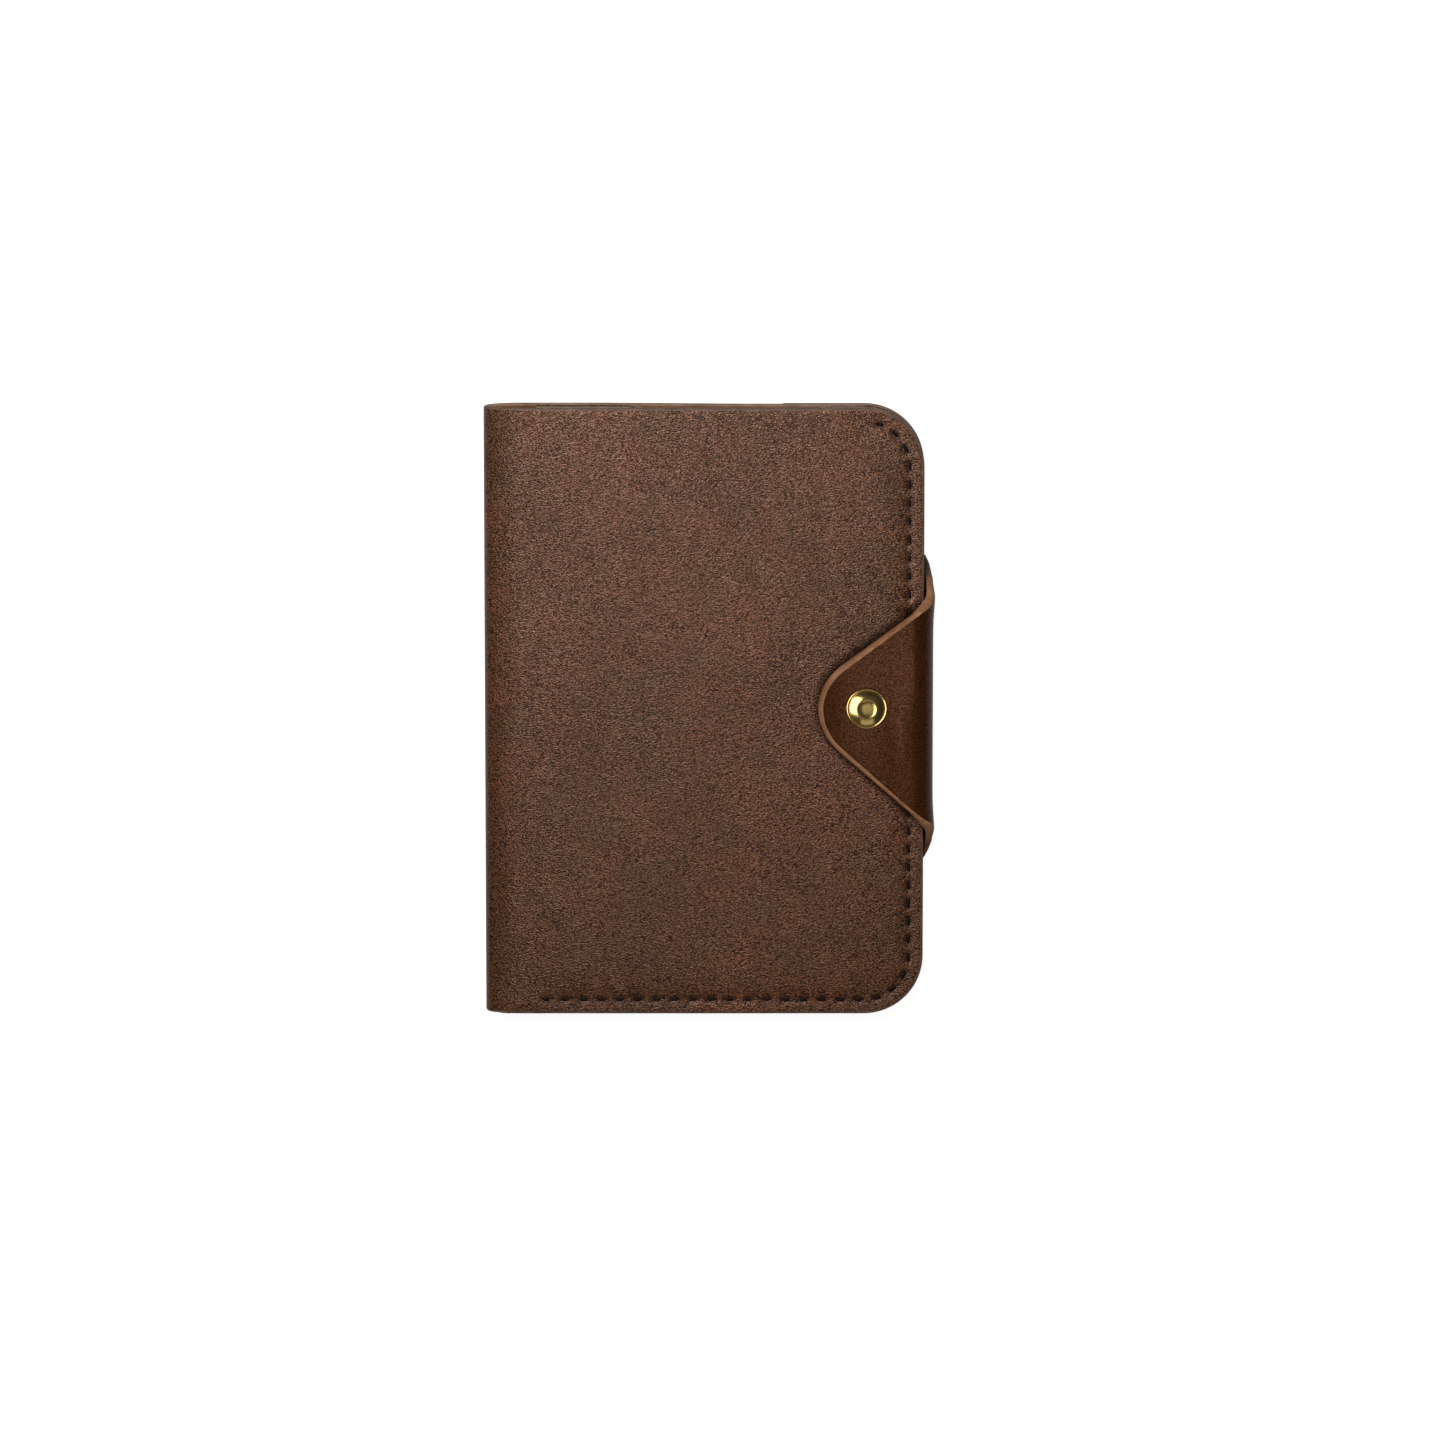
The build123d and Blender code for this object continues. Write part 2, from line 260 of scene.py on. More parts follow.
def grain_leather(name, light, dark, olive, valley_shade, roughness, relief, shine, tint):
    material, tree = new_material(name)
    place = add_node(tree, "ShaderNodeTexCoord").outputs["Object"]
    patches = add_node(
        tree, "ShaderNodeTexNoise", {"Vector": place, "Scale": 1 / dye_patch, "Detail": 3.0}
    )
    flecks = add_node(
        tree, "ShaderNodeTexNoise", {"Vector": place, "Scale": 1 / dye_fleck, "Detail": 2.0}
    )
    shift = add_node(
        tree, "ShaderNodeVectorMath", {0: flecks.outputs["Color"], 1: [wander] * 3},
        operation="MULTIPLY",
    )
    wandered = add_node(
        tree, "ShaderNodeVectorMath", {0: place, 1: shift.outputs[0]}, operation="ADD"
    )
    along_grain = add_node(
        tree, "ShaderNodeMapping",
        {
            "Vector": wandered.outputs[0], "Rotation": [0, 0, grain_turn],
            "Scale": [1 / size for size in crease],
        },
    )
    bumps = add_node(
        tree, "ShaderNodeTexVoronoi",
        {"Vector": along_grain.outputs["Vector"], "Scale": 1.0, "Smoothness": 0.5},
        feature="SMOOTH_F1",
    )
    creases = add_node(
        tree, "ShaderNodeTexNoise",
        {"Vector": along_grain.outputs["Vector"], "Scale": 1.1, "Detail": 1.0, "Distortion": 0.3},
    )
    fine = add_node(
        tree, "ShaderNodeTexNoise", {"Vector": place, "Scale": 1 / pore, "Detail": 2.0}
    )
    patch_share = add_node(
        tree, "ShaderNodeMapRange",
        {"Value": patches.outputs["Fac"], "From Min": 0.35, "From Max": 0.65},
    )
    dyed = add_node(
        tree, "ShaderNodeMix",
        {"Factor": patch_share.outputs["Result"], 6: linear(dark), 7: linear(light)},
        data_type="RGBA",
    )
    fleck_share = add_node(
        tree, "ShaderNodeMapRange",
        {"Value": flecks.outputs["Fac"], "From Min": 0.36, "From Max": 0.7, "To Max": 0.75},
    )
    flecked = add_node(
        tree, "ShaderNodeMix",
        {"Factor": fleck_share.outputs["Result"], 6: dyed.outputs[2], 7: linear(olive)},
        data_type="RGBA",
    )
    # The valleys between the pebbles are coloured almost black: painted shade in them.
    valley_share = add_node(
        tree, "ShaderNodeMapRange",
        {"Value": creases.outputs["Fac"], "From Min": 0.56, "From Max": 0.42, "To Max": 1.0},
    )
    grained = add_node(
        tree, "ShaderNodeMix",
        {"Factor": valley_share.outputs["Result"], 6: flecked.outputs[2], 7: linear(valley_shade)},
        data_type="RGBA",
    )
    # Stitch marks: the leather is darker where it is crushed, and painted shade fills the pit.
    pressed = add_node(tree, "ShaderNodeAttribute", attribute_name="pressed")
    color = add_node(
        tree, "ShaderNodeMix",
        {"Factor": pressed.outputs["Fac"], 6: grained.outputs[2], 7: linear(crushed_and_shaded_brown)},
        data_type="RGBA",
    )
    # Painted shadow along the outline of the strap's tab: a darker colour and no shine.
    tab_shadow_weight = add_node(tree, "ShaderNodeAttribute", attribute_name="painted_tab_shadow")
    tab_shadow_painted = add_node(
        tree, "ShaderNodeMix",
        {"Factor": tab_shadow_weight.outputs["Fac"], 6: color.outputs[2], 7: linear(tab_shadow_brown)},
        data_type="RGBA",
    )
    shine_outside_tab_shadow = add_node(
        tree, "ShaderNodeMapRange", {"Value": tab_shadow_weight.outputs["Fac"], "To Min": shine, "To Max": 0.0}
    )
    # Less shine in the valleys: painted shade on the shine.
    valley_shade_on_shine = add_node(
        tree, "ShaderNodeMapRange",
        {"Value": valley_share.outputs["Result"], "To Min": 1.0, "To Max": valley_shine_left},
    )
    sheen = add_node(
        tree, "ShaderNodeMath", {0: shine_outside_tab_shadow.outputs["Result"], 1: valley_shade_on_shine.outputs["Result"]},
        operation="MULTIPLY",
    )
    gloss = add_node(
        tree, "ShaderNodeMapRange",
        {"Value": creases.outputs["Fac"], "To Min": roughness + 0.08, "To Max": roughness - 0.08},
    )
    pebbles = add_node(
        tree, "ShaderNodeMath", {0: bumps.outputs["Distance"], 1: -0.6}, operation="MULTIPLY"
    )
    pores = add_node(
        tree, "ShaderNodeMath", {0: fine.outputs["Fac"], 1: 0.3}, operation="MULTIPLY"
    )
    coarse = add_node(
        tree, "ShaderNodeMath", {0: creases.outputs["Fac"], 1: pebbles.outputs[0]},
        operation="ADD",
    )
    height = add_node(
        tree, "ShaderNodeMath", {0: coarse.outputs[0], 1: pores.outputs[0]}, operation="ADD"
    )
    bump = add_node(
        tree, "ShaderNodeBump",
        {"Height": height.outputs[0], "Strength": 1.0, "Distance": relief},
    )
    shader = add_node(
        tree, "ShaderNodeBsdfPrincipled",
        {
            "Base Color": tab_shadow_painted.outputs[2], "Roughness": gloss.outputs["Result"],
            "IOR": 1.5, "Specular IOR Level": sheen.outputs[0],
            "Specular Tint": linear(tint),
            "Normal": bump.outputs["Normal"],
        },
    )
    show(tree, shader)
    return material


cover_grain = grain_leather(
    "veg_tan_cowhide_waxed_brown", "#64371b", "#502b12", "#473110", "#160a04",
    0.37, 0.15 * mm, 1.0, "#ffd1be",
)
pocket_grain = grain_leather(
    "veg_tan_lining_calf_brown", "#5c3a25", "#4b2f1d", "#493319", "#2a180c",
    0.52, 0.14 * mm, 0.6, "#ffcbb0",
)
strap_grain = grain_leather(
    "bridle_leather_dark_brown", "#391b0b", "#301607", "#2e1908", "#241003",
    0.33, 0.04 * mm, 0.4, "#ffb890",
)
print("grain creases", [round(size / mm, 2) for size in crease], "mm, pores", pore / mm, "mm")

# %% [markdown]
# ### Cut edges and flesh side
# Both show fibres. Stretching a noise along the sheet draws the layers of a cut edge, and an
# even, very fine noise with no shine at all is the nap of the flesh side.


# %% Fibrous leather
def fibre_leather(name, light, dark, roughness, fibre, relief, shine):
    """Leather fibres, as long and as wide as fibre says along X, Y and Z."""
    material, tree = new_material(name)
    place = add_node(tree, "ShaderNodeTexCoord").outputs["Object"]
    stretched = add_node(
        tree, "ShaderNodeMapping", {"Vector": place, "Scale": [1 / size for size in fibre]}
    )
    strands = add_node(
        tree, "ShaderNodeTexNoise",
        {"Vector": stretched.outputs["Vector"], "Scale": 1.0, "Detail": 4.0, "Roughness": 0.6},
    )
    clouds = add_node(
        tree, "ShaderNodeTexNoise", {"Vector": place, "Scale": 1 / (5 * mm), "Detail": 2.0}
    )
    blend = add_node(
        tree, "ShaderNodeMath",
        {0: strands.outputs["Fac"], 1: clouds.outputs["Fac"]}, operation="MULTIPLY",
    )
    share = add_node(
        tree, "ShaderNodeMapRange",
        {"Value": blend.outputs[0], "From Min": 0.14, "From Max": 0.38},
    )
    color = add_node(
        tree, "ShaderNodeMix",
        {"Factor": share.outputs["Result"], 6: linear(dark), 7: linear(light)},
        data_type="RGBA",
    )
    bump = add_node(
        tree, "ShaderNodeBump",
        {"Height": strands.outputs["Fac"], "Strength": relief, "Distance": 0.1 * mm},
    )
    shader = add_node(
        tree, "ShaderNodeBsdfPrincipled",
        {
            "Base Color": color.outputs[2], "Roughness": roughness,
            "Specular IOR Level": shine, "Normal": bump.outputs["Normal"],
        },
    )
    show(tree, shader)
    return material


along_sheet = (2.5 * mm, 2.5 * mm, 0.3 * mm)
nap = (0.35 * mm, 0.35 * mm, 0.35 * mm)
cover_edge = fibre_leather(
    "burnished_cut_edge_brown", "#675040", "#493629", 0.5, along_sheet, 0.5, 0.3
)
# The cut edges inside the case and on the back cover are a lighter brown than the front cover's,
# which paints light into the shade between the covers.
edge_painted_lighter = fibre_leather(
    "burnished_cut_edge_painted_lighter", "#876f59", "#634d3c", 0.5, along_sheet, 0.5, 0.3
)
raw_edge = fibre_leather(
    "raw_cut_edge_russet", "#8c664a", "#6c462c", 0.75, along_sheet, 0.6, 0.15
)
flesh = fibre_leather("flesh_side_nap_tan", "#7c5236", "#5e3a22", 0.95, nap, 0.7, 0.1)
print("edges and back:", [finish.name for finish in (cover_edge, edge_painted_lighter, raw_edge, flesh)])

# %% [markdown]
# ### Thread and metal
# The thread is waxed linen, almost black. Slanting bands of bump, 0.4 mm apart, draw its twist.
# The stud is polished brass that has darkened a little, and its spring is bright drawn steel.


# %% Thread and metals
def waxed_thread(name):
    material, tree = new_material(name)
    place = add_node(tree, "ShaderNodeTexCoord").outputs["Object"]
    twist = add_node(
        tree, "ShaderNodeTexWave",
        {"Vector": place, "Scale": 0.314 / (0.4 * mm), "Distortion": 0.6},
        bands_direction="DIAGONAL",
    )
    color = add_node(
        tree, "ShaderNodeMix",
        {"Factor": twist.outputs["Fac"], 6: linear("#0e0604"), 7: linear("#1c0d08")},
        data_type="RGBA",
    )
    bump = add_node(
        tree, "ShaderNodeBump",
        {"Height": twist.outputs["Fac"], "Strength": 0.8, "Distance": 0.1 * mm},
    )
    shader = add_node(
        tree, "ShaderNodeBsdfPrincipled",
        {
            "Base Color": color.outputs[2], "Roughness": 0.7,
            "Specular IOR Level": 0.15, "Normal": bump.outputs["Normal"],
        },
    )
    show(tree, shader)
    return material


def polished_metal(name, bright, dull, low_gloss, high_gloss):
    """Metal with faint tarnish in patches of about 1.5 mm, darker and a little duller."""
    material, tree = new_material(name)
    place = add_node(tree, "ShaderNodeTexCoord").outputs["Object"]
    tarnish = add_node(
        tree, "ShaderNodeTexNoise", {"Vector": place, "Scale": 1 / (1.5 * mm), "Detail": 4.0}
    )
    color = add_node(
        tree, "ShaderNodeMix",
        {"Factor": tarnish.outputs["Fac"], 6: linear(bright), 7: linear(dull)},
        data_type="RGBA",
    )
    gloss = add_node(
        tree, "ShaderNodeMapRange",
        {"Value": tarnish.outputs["Fac"], "To Min": low_gloss, "To Max": high_gloss},
    )
    shader = add_node(
        tree, "ShaderNodeBsdfPrincipled",
        {"Base Color": color.outputs[2], "Metallic": 1.0, "Roughness": gloss.outputs["Result"]},
    )
    show(tree, shader)
    return material


thread = waxed_thread("waxed_linen_thread_black_brown")
brass = polished_metal("polished_brass", "#dcc07c", "#b4904c", 0.12, 0.3)
steel = polished_metal("drawn_spring_steel", "#c9c8c4", "#a6a5a1", 0.2, 0.35)
print("thread and metals:", [finish.name for finish in (thread, brass, steel)])

# %% [markdown]
# ## The covers
# A cover starts as a flat slab of leather. Its two outer corners are rounded by bevelling the
# plane's corner vertices, it is extruded to its thickness, its cut edges are bevelled round,
# and then the end at the spine is spun round two bends: first wide, then tight.


# %% A flat sheet of leather
def flat_sheet(name, x_start, x_end, y_start, y_end, face_z, depth):
    """A slab with its good face at face_z, its depth going the other way, and its corners at
    x_end rounded where they are corners of the case. It is left open in edit mode."""
    bpy.ops.object.select_all(action="DESELECT")
    bpy.ops.mesh.primitive_plane_add(
        size=1, location=((x_start + x_end) / 2, (y_start + y_end) / 2, face_z)
    )
    sheet = bpy.context.object
    sheet.name = sheet.data.name = name
    sheet.scale = (x_end - x_start, y_end - y_start, 1)
    bpy.ops.object.transform_apply(location=True, rotation=True, scale=True)
    edit(sheet, "VERT")
    choose(
        "verts",
        lambda vertex: near(vertex.co.x, x_end) and near(abs(vertex.co.y), half_height),
    )
    bpy.ops.mesh.bevel(
        offset=corner_radius, segments=20, affect="VERTICES", clamp_overlap=False
    )
    bpy.ops.mesh.select_all(action="SELECT")
    bpy.ops.mesh.extrude_region_move(TRANSFORM_OT_translate={"value": (0, 0, depth)})
    bpy.ops.mesh.select_all(action="SELECT")
    bpy.ops.mesh.normals_make_consistent(inside=False)
    return sheet


def round_edges(rule, width, segments):
    """Bevels the sharp edges that a rule of place picks in the open piece."""
    bpy.ops.mesh.select_mode(type="EDGE")
    choose("edges", lambda edge: edge.calc_face_angle(0) > radians(30) and rule(edge))
    bpy.ops.mesh.bevel(
        offset=width, segments=segments, affect="EDGES", clamp_overlap=False, profile=0.5
    )


# %% [markdown]
# The seam runs 3.3 mm in from the cut edge. To press each stitch into the leather, a point has
# to know how far along the seam it lies and how far beside it, so those are worked out here
# for the straight runs and the two corners.

# %% The seam's line
seam_inset = 3.3 * mm
seam_pitch = 4.2 * mm
x_corner = x_cut - corner_radius
y_corner = half_height - corner_radius
seam_turn = corner_radius - seam_inset
seam_first_angle = radians(82.5)        # it starts here on the corner at the head
seam_last_x = x_spine + 13.9 * mm       # and ends here at the foot
first_arc = seam_turn * seam_first_angle
side_run = 2 * y_corner
last_arc = seam_turn * pi / 2
foot_run = x_corner - seam_last_x
seam_length = first_arc + side_run + last_arc + foot_run
stitch_count = round(seam_length / seam_pitch)


def seam_point(along):
    """The place and the heading of the seam at a distance from its first hole."""
    if along < first_arc:
        angle = seam_first_angle - along / seam_turn
        x, y = x_corner + seam_turn * cos(angle), y_corner + seam_turn * sin(angle)
        return (x, y, angle - pi / 2)
    along -= first_arc
    if along < side_run:
        return (x_cut - seam_inset, y_corner - along, -pi / 2)
    along -= side_run
    if along < last_arc:
        angle = -along / seam_turn
        x, y = x_corner + seam_turn * cos(angle), seam_turn * sin(angle) - y_corner
        return (x, y, angle - pi / 2)
    return (x_corner - (along - last_arc), seam_inset - half_height, pi)


def seam_place(x, y):
    """How far along the seam a point lies, and how far beside it."""
    if x > x_corner and abs(y) > y_corner:
        upward = abs(y) - y_corner
        beside = hypot(x - x_corner, upward) - seam_turn
        angle = atan2(upward, x - x_corner) * (1 if y > 0 else -1)
        start = first_arc + (0 if y > 0 else side_run)
        return start - angle * seam_turn, beside
    if x > x_corner:
        return first_arc + y_corner - y, x - (x_cut - seam_inset)
    if y > y_corner:
        before = x_corner - x + (pi / 2 - seam_first_angle) * seam_turn
        return -before, y - (half_height - seam_inset)
    return first_arc + side_run + last_arc + x_corner - x, seam_inset - half_height - y


print("seam", round(seam_length / mm, 1), "mm long with", stitch_count, "stitches")


# %% Pressed marks of the stitches
pit_half = 1.45 * mm        # a stitch presses the leather this far to both sides of its middle
pit_width = 0.72 * mm       # and this far beside its thread
pit_depth = 0.38 * mm
furrow_width = 1.3 * mm     # the furrow that joins the stitches
furrow_share = 0.22         # its depth, as a share of pit_depth
margin_sink = 0.38 * mm     # the thread draws the cover's edge down by this much
pull_width = 7.5 * mm       # from this far inside the seam
pull_end = 2.8 * mm         # to this far outside it
pull_fade = 6 * mm          # and fades out past both ends of the seam
press_skin = 0.3 * mm       # only points this close to a face are pressed in
outer_skin = 0.8 * mm       # and the front cover's outer skin is all that moves with the seam


def pit(off, beside):
    """How deep one stitch is pressed in at a distance along it and beside it."""
    along_share = max(0, 1 - (off / pit_half) ** 4)
    return along_share * exp(-((beside / pit_width) ** 4))


def stitch_mark(x, y, phase=0.5):
    """1 where a stitch of the seam presses the leather, 0 away from it."""
    along, beside = seam_place(x, y)
    number = max(0, min(stitch_count - 1, round(along / seam_pitch - phase)))
    return pit(along - (number + phase) * seam_pitch, beside)


def seam_groove(x, y):
    """The shallow furrow that joins the stitches."""
    along, beside = seam_place(x, y)
    ends = ease(along, -1.5 * mm, 0.5 * mm)
    ends *= 1 - ease(along, seam_length - 0.5 * mm, seam_length + 1.5 * mm)
    return ends * exp(-((beside / furrow_width) ** 2))


def drawn_down(x, y):
    """How far the pull of the thread sinks the cover: more and more towards the cut edge."""
    along, beside = seam_place(x, y)
    ends = ease(along, -pull_fade, 0) * (1 - ease(along, seam_length, seam_length + pull_fade))
    return ends * ease(beside, -pull_width, pull_end)


def stitch_press(x, y):
    """How far the leather is pressed in at a point, as a share of pit_depth."""
    return min(1, stitch_mark(x, y) + furrow_share * seam_groove(x, y))


def finish_faces(piece, is_grain, is_edge, grain, edge, back):
    """Gives each face its finish: the good side, the cut edge, or the flesh side."""
    for material in (grain, edge, back):
        piece.data.materials.append(material)
    for face in piece.data.polygons:
        if is_edge(face.center):
            face.material_index = 1
        else:
            face.material_index = 0 if is_grain(face.center, face.normal) else 2


def edge_distance(x, y):
    """How far in from the cut edges of a cover a point lies."""
    across, upward = x - x_corner, abs(y) - y_corner
    if across > 0 and upward > 0:
        return corner_radius - hypot(across, upward)
    return corner_radius - max(across, upward)


# %% [markdown]
# Both covers come from one function, because the back is the front turned over. The strap's
# base lies under the back cover, which therefore climbs by the strap's thickness.

# %% The rise of the back half over the strap's base
rise_start = x_spine + 24 * mm
rise_end = base_low.x - 5 * mm


def rise(x):
    """How far the back half is lifted at a distance from the spine."""
    return ease(x, rise_start, rise_end)


print("the back half climbs over", round((rise_end - rise_start) / mm, 1), "mm")


# %% A cover, bent from a flat sheet
cover_round = 0.55 * mm     # the round of its burnished edges
cell = 2 * mm               # its rows of points, and four times finer
fine_band = 2.2 * mm        # this far to both sides of the seam
fine_end = 2 * mm           # and this far past both ends of it


def bent_cover(name, outer_z, inward):
    """A cover whose good face is at outer_z. inward is -1 for the front and 1 for the back."""
    cover = flat_sheet(
        name, x_flat, x_cut, -half_height, half_height, outer_z, inward * cover_leather
    )
    round_edges(
        lambda edge: near(*(vertex.co.z for vertex in edge.verts))
        and not near(middle(edge).x, x_flat),
        cover_round, 3,
    )
    bpy.ops.mesh.select_mode(type="FACE")
    choose("faces", lambda face: face.normal.x < -0.9 and near(middle(face).x, x_flat))
    bpy.ops.mesh.spin(
        steps=7, angle=roll_angle, axis=(0, -inward, 0),
        center=(x_flat, 0, outer_z + inward * roll_radius),
    )
    bpy.ops.mesh.spin(
        steps=8, angle=pi / 2 - roll_angle, axis=(0, -inward, 0),
        center=(x_spine_center, 0, z_middle),
    )
    cut_rows((0, 1, 0), steps(-half_height + cover_round, half_height - cover_round, cell))
    cut_rows((1, 0, 0), [x_flat + 0.001 * mm] + steps(x_flat, x_cut - cover_round, cell))
    bpy.ops.mesh.select_mode(type="FACE")
    count = choose(
        "faces",
        lambda face: face.normal.z * inward < -0.9
        and abs(seam_place(*middle(face).xy)[1]) < fine_band
        and -fine_end < seam_place(*middle(face).xy)[0] < seam_length + fine_end,
    )
    bpy.ops.mesh.subdivide(number_cuts=3)
    print(name, "has", count, "cells refined along its seam")
    leave_edit()
    return cover


def cover_is_grain(center, normal):
    """Outside the case: away from the line that runs along its middle."""
    return normal.x * min(center.x - x_spine_center, 0) + normal.z * (center.z - z_middle) > 0


def cover_is_edge(center):
    return edge_distance(center.x, center.y) < cover_round


front_cover = bent_cover("front_cover_leather", z_front, -1)
back_cover = bent_cover("back_cover_leather", 0, 1)


# %% Press the seam into a cover
def press_seam(cover, outer_z, edge):
    """Presses the stitches into a cover's outer face, and gives all its faces their finish."""
    def pits(x, y, z):
        return stitch_press(x, y) if abs(z - outer_z) < press_skin else 0

    def marks(x, y, z):
        return stitch_mark(x, y) if abs(z - outer_z) < press_skin else 0

    # Darkened stitch marks: crushed leather and painted shade in the pits.
    keep_weight(cover, "pressed", marks)
    finish_faces(cover, cover_is_grain, cover_is_edge, cover_grain, edge, flesh)
    press(cover, "stitch_pits", pits, -pit_depth)


# %% [markdown]
# The front cover isn't a board. The thread draws its margin down, and its good side falls
# towards the spine a little before it rolls over. The back cover lies flat on the table
# instead, and bends over the strap's base.

# %% Draw down the margin, and bend the covers
fall_depth = 0.8 * mm
x_fall_end = x_flat - 4 * mm
x_fall_start = x_flat + 11 * mm
z_fall_end = z_front - 4 * mm       # down here the bend of the spine no longer moves
x_skin = x_flat - 4.5 * mm          # the cover's flesh side stays where it is up to here


def margin(x, y, z):
    """How far the outer skin of the front cover is drawn down, as a share of margin_sink."""
    return drawn_down(x, y) if z > z_front - outer_skin else 0


def fall(x, y, z):
    """How far the front cover's good side falls, as a share of fall_depth."""
    if x > x_skin and z < z_front - outer_skin:
        return 0
    return (1 - ease(x, x_fall_end, x_fall_start)) * ease(z, z_fall_end, z_front)


press_seam(front_cover, z_front, cover_edge)
# The back cover's edges take the lighter brown: painted light in the shade between the covers.
press_seam(back_cover, 0, edge_painted_lighter)
press(front_cover, "drawn_margin", margin, -margin_sink, "Z")
press(front_cover, "fall_to_spine", fall, -fall_depth, "Z")
press(back_cover, "over_strap_base", lambda x, y, z: rise(x), strap_leather, "Z")
print("the margin sinks by", margin_sink / mm, "mm, the spine's side by", fall_depth / mm, "mm")

# %% [markdown]
# A painted shadow of the strap's tab lies on the front cover: along the tab's outline the leather
# is coloured dark and its shine is taken away, in a line that fades out within a couple of
# millimetres. The strap's measures come first, because that line follows them.
# The strap's measures come first, because that line follows them.

# %% Places along the strap
x_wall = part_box("strap_side")[1].x
z_strap = tab_high.z
x_base = base_low.x
lower_bend = x_wall - x_cut
upper_bend = 5 * mm
x_fold = x_wall - upper_bend
z_fold = z_strap - upper_bend
z_halfway = (lower_bend + z_fold) / 2
x_parting = x_fold + upper_bend * cos(pi / 4)
z_parting = z_fold + upper_bend * sin(pi / 4)
root_half = 35.2 * mm
turn_half = 25.75 * mm
tip_radius = 12.9 * mm
tip_shift = 1.3 * mm
x_tip = tab_low.x + tip_radius
strap_bevel = 1.15 * mm


def flank_slope(side):
    """How fast the tab widens towards the fold, on the head side, 1, or the foot side, -1: the
    slope of the straight line from the fold that just touches the round of the tip."""
    run, climb = x_parting - x_tip, turn_half - side * tip_shift
    return tan(atan2(climb, run) - asin(tip_radius / hypot(run, climb)))


slopes = {side: flank_slope(side) for side in (1, -1)}
wall_slope = (root_half - turn_half) / z_parting
print("the tab's flanks rise", [round(slope, 3) for slope in slopes.values()], "in 1")


# %% The painted shadow along the tab's outline on the front cover
def beside_tab(x, y):
    """How far outside the outline of the tab a point lies."""
    x, y = x - x_tip, y - tip_shift
    side = 1 if y > 0 else -1
    slope = atan(slopes[side])
    if x * cos(slope) + side * y * sin(slope) < 0:
        return hypot(x, y) - tip_radius
    return side * y * cos(slope) - x * sin(slope) - tip_radius


# The painted shadow round the tab: how dark it is, and how near the outline the cells are made
# finer.
tab_shadow_strength = 0.85
tab_shadow_reach = 3.4 * mm        # the cover's cells this close to the outline are made finer
coarse_cell = 1.5 * mm**2   # those along the seam are smaller than this, and fine already


def painted_tab_shadow(x, y, z):
    """How dark the painted shadow of the tab is: most just inside its outline, and fading
    outside.
    """
    beside = beside_tab(x, y)
    line = ease(beside, -2.6 * mm, -1 * mm) * (1 - ease(beside, -0.2 * mm, 2.2 * mm))
    return tab_shadow_strength * line if z > z_front - outer_skin else 0


# The front cover's cells along the tab's outline are made finer, to carry the painted shadow.
edit(front_cover, "FACE")
tab_shadow_cells = choose(
    "faces",
    lambda face: face.normal.z > 0.9 and len(face.verts) == 4
    and abs(beside_tab(*middle(face).xy)) < tab_shadow_reach and face.calc_area() > coarse_cell,
)
bpy.ops.mesh.subdivide(number_cuts=3)
leave_edit()
keep_weight(front_cover, "painted_tab_shadow", painted_tab_shadow)
print("the tab's outline crosses", tab_shadow_cells, "cells of the front cover")

# %% [markdown]
# Real leather is never quite flat. A slow procedural cloud lifts and lowers the sheets by about
# a tenth of a millimetre, which breaks up their shine. It fades out towards the spine, where
# the two covers meet.


# %% Slack in the leather
slack_wave = 30 * mm
slack_height = 0.35 * mm
slack_full = 8 * mm         # it reaches its full height this far past the bend of the spine


def slack(piece):
    """Lets a sheet wander up and down, over waves about slack_wave long."""
    clouds = bpy.data.textures.new(piece.name + "_slack", "CLOUDS")
    clouds.noise_scale = slack_wave
    group = piece.vertex_groups.new(name="slack")
    for vertex in piece.data.vertices:
        group.add([vertex.index], ease(vertex.co.x, x_spine, x_flat + slack_full), "REPLACE")
    waves = piece.modifiers.new("slack", "DISPLACE")
    waves.texture = clouds
    waves.texture_coords = "LOCAL"
    waves.vertex_group = "slack"
    waves.direction = "Z"
    waves.mid_level = 0.5
    waves.strength = slack_height
    bpy.context.view_layer.objects.active = piece
    bpy.ops.object.modifier_apply(modifier="slack")


slack(front_cover)
for cover in (front_cover, back_cover):
    smooth(cover)
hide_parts("cover_front", "cover_spine")
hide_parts("cover_back")
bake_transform(front_cover)
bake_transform(back_cover)

# %% [markdown]
# ## Pockets and card slots
# Inside each cover a full-height pocket and a shorter card slot are caught in the same seam.
# They are thin sheets of the same make as the covers. Sewing pulls them flat against the cover
# along the seam, while their mouths stand a little open, so their margins are pressed towards
# the cover and the middle is left where it is.

# %% Where the sheets inside are pulled tight
x_pocket = pocket_low.x
x_mouth = (x_pocket + x_cut) / 2
mouth_half_width = 23 * mm
mouth_scoop = 3 * mm
scoop_reach = 18 * mm       # the finger curve is drawn from this much of the sheet
sheet_round = 0.22 * mm
tight_margin = 4.5 * mm     # the sheets lie tight on the cover up to here
loose_margin = 10 * mm      # and hang loose from here


def sewn_distance(x, y):
    """How far in from the sewn sides, the cut side and the foot, a point lies."""
    if y < 0 or x > x_corner and y > y_corner:
        return edge_distance(x, y)
    return x_cut - x


def pulled_tight(x, y, z):
    return 1 - ease(sewn_distance(x, y), tight_margin, loose_margin)


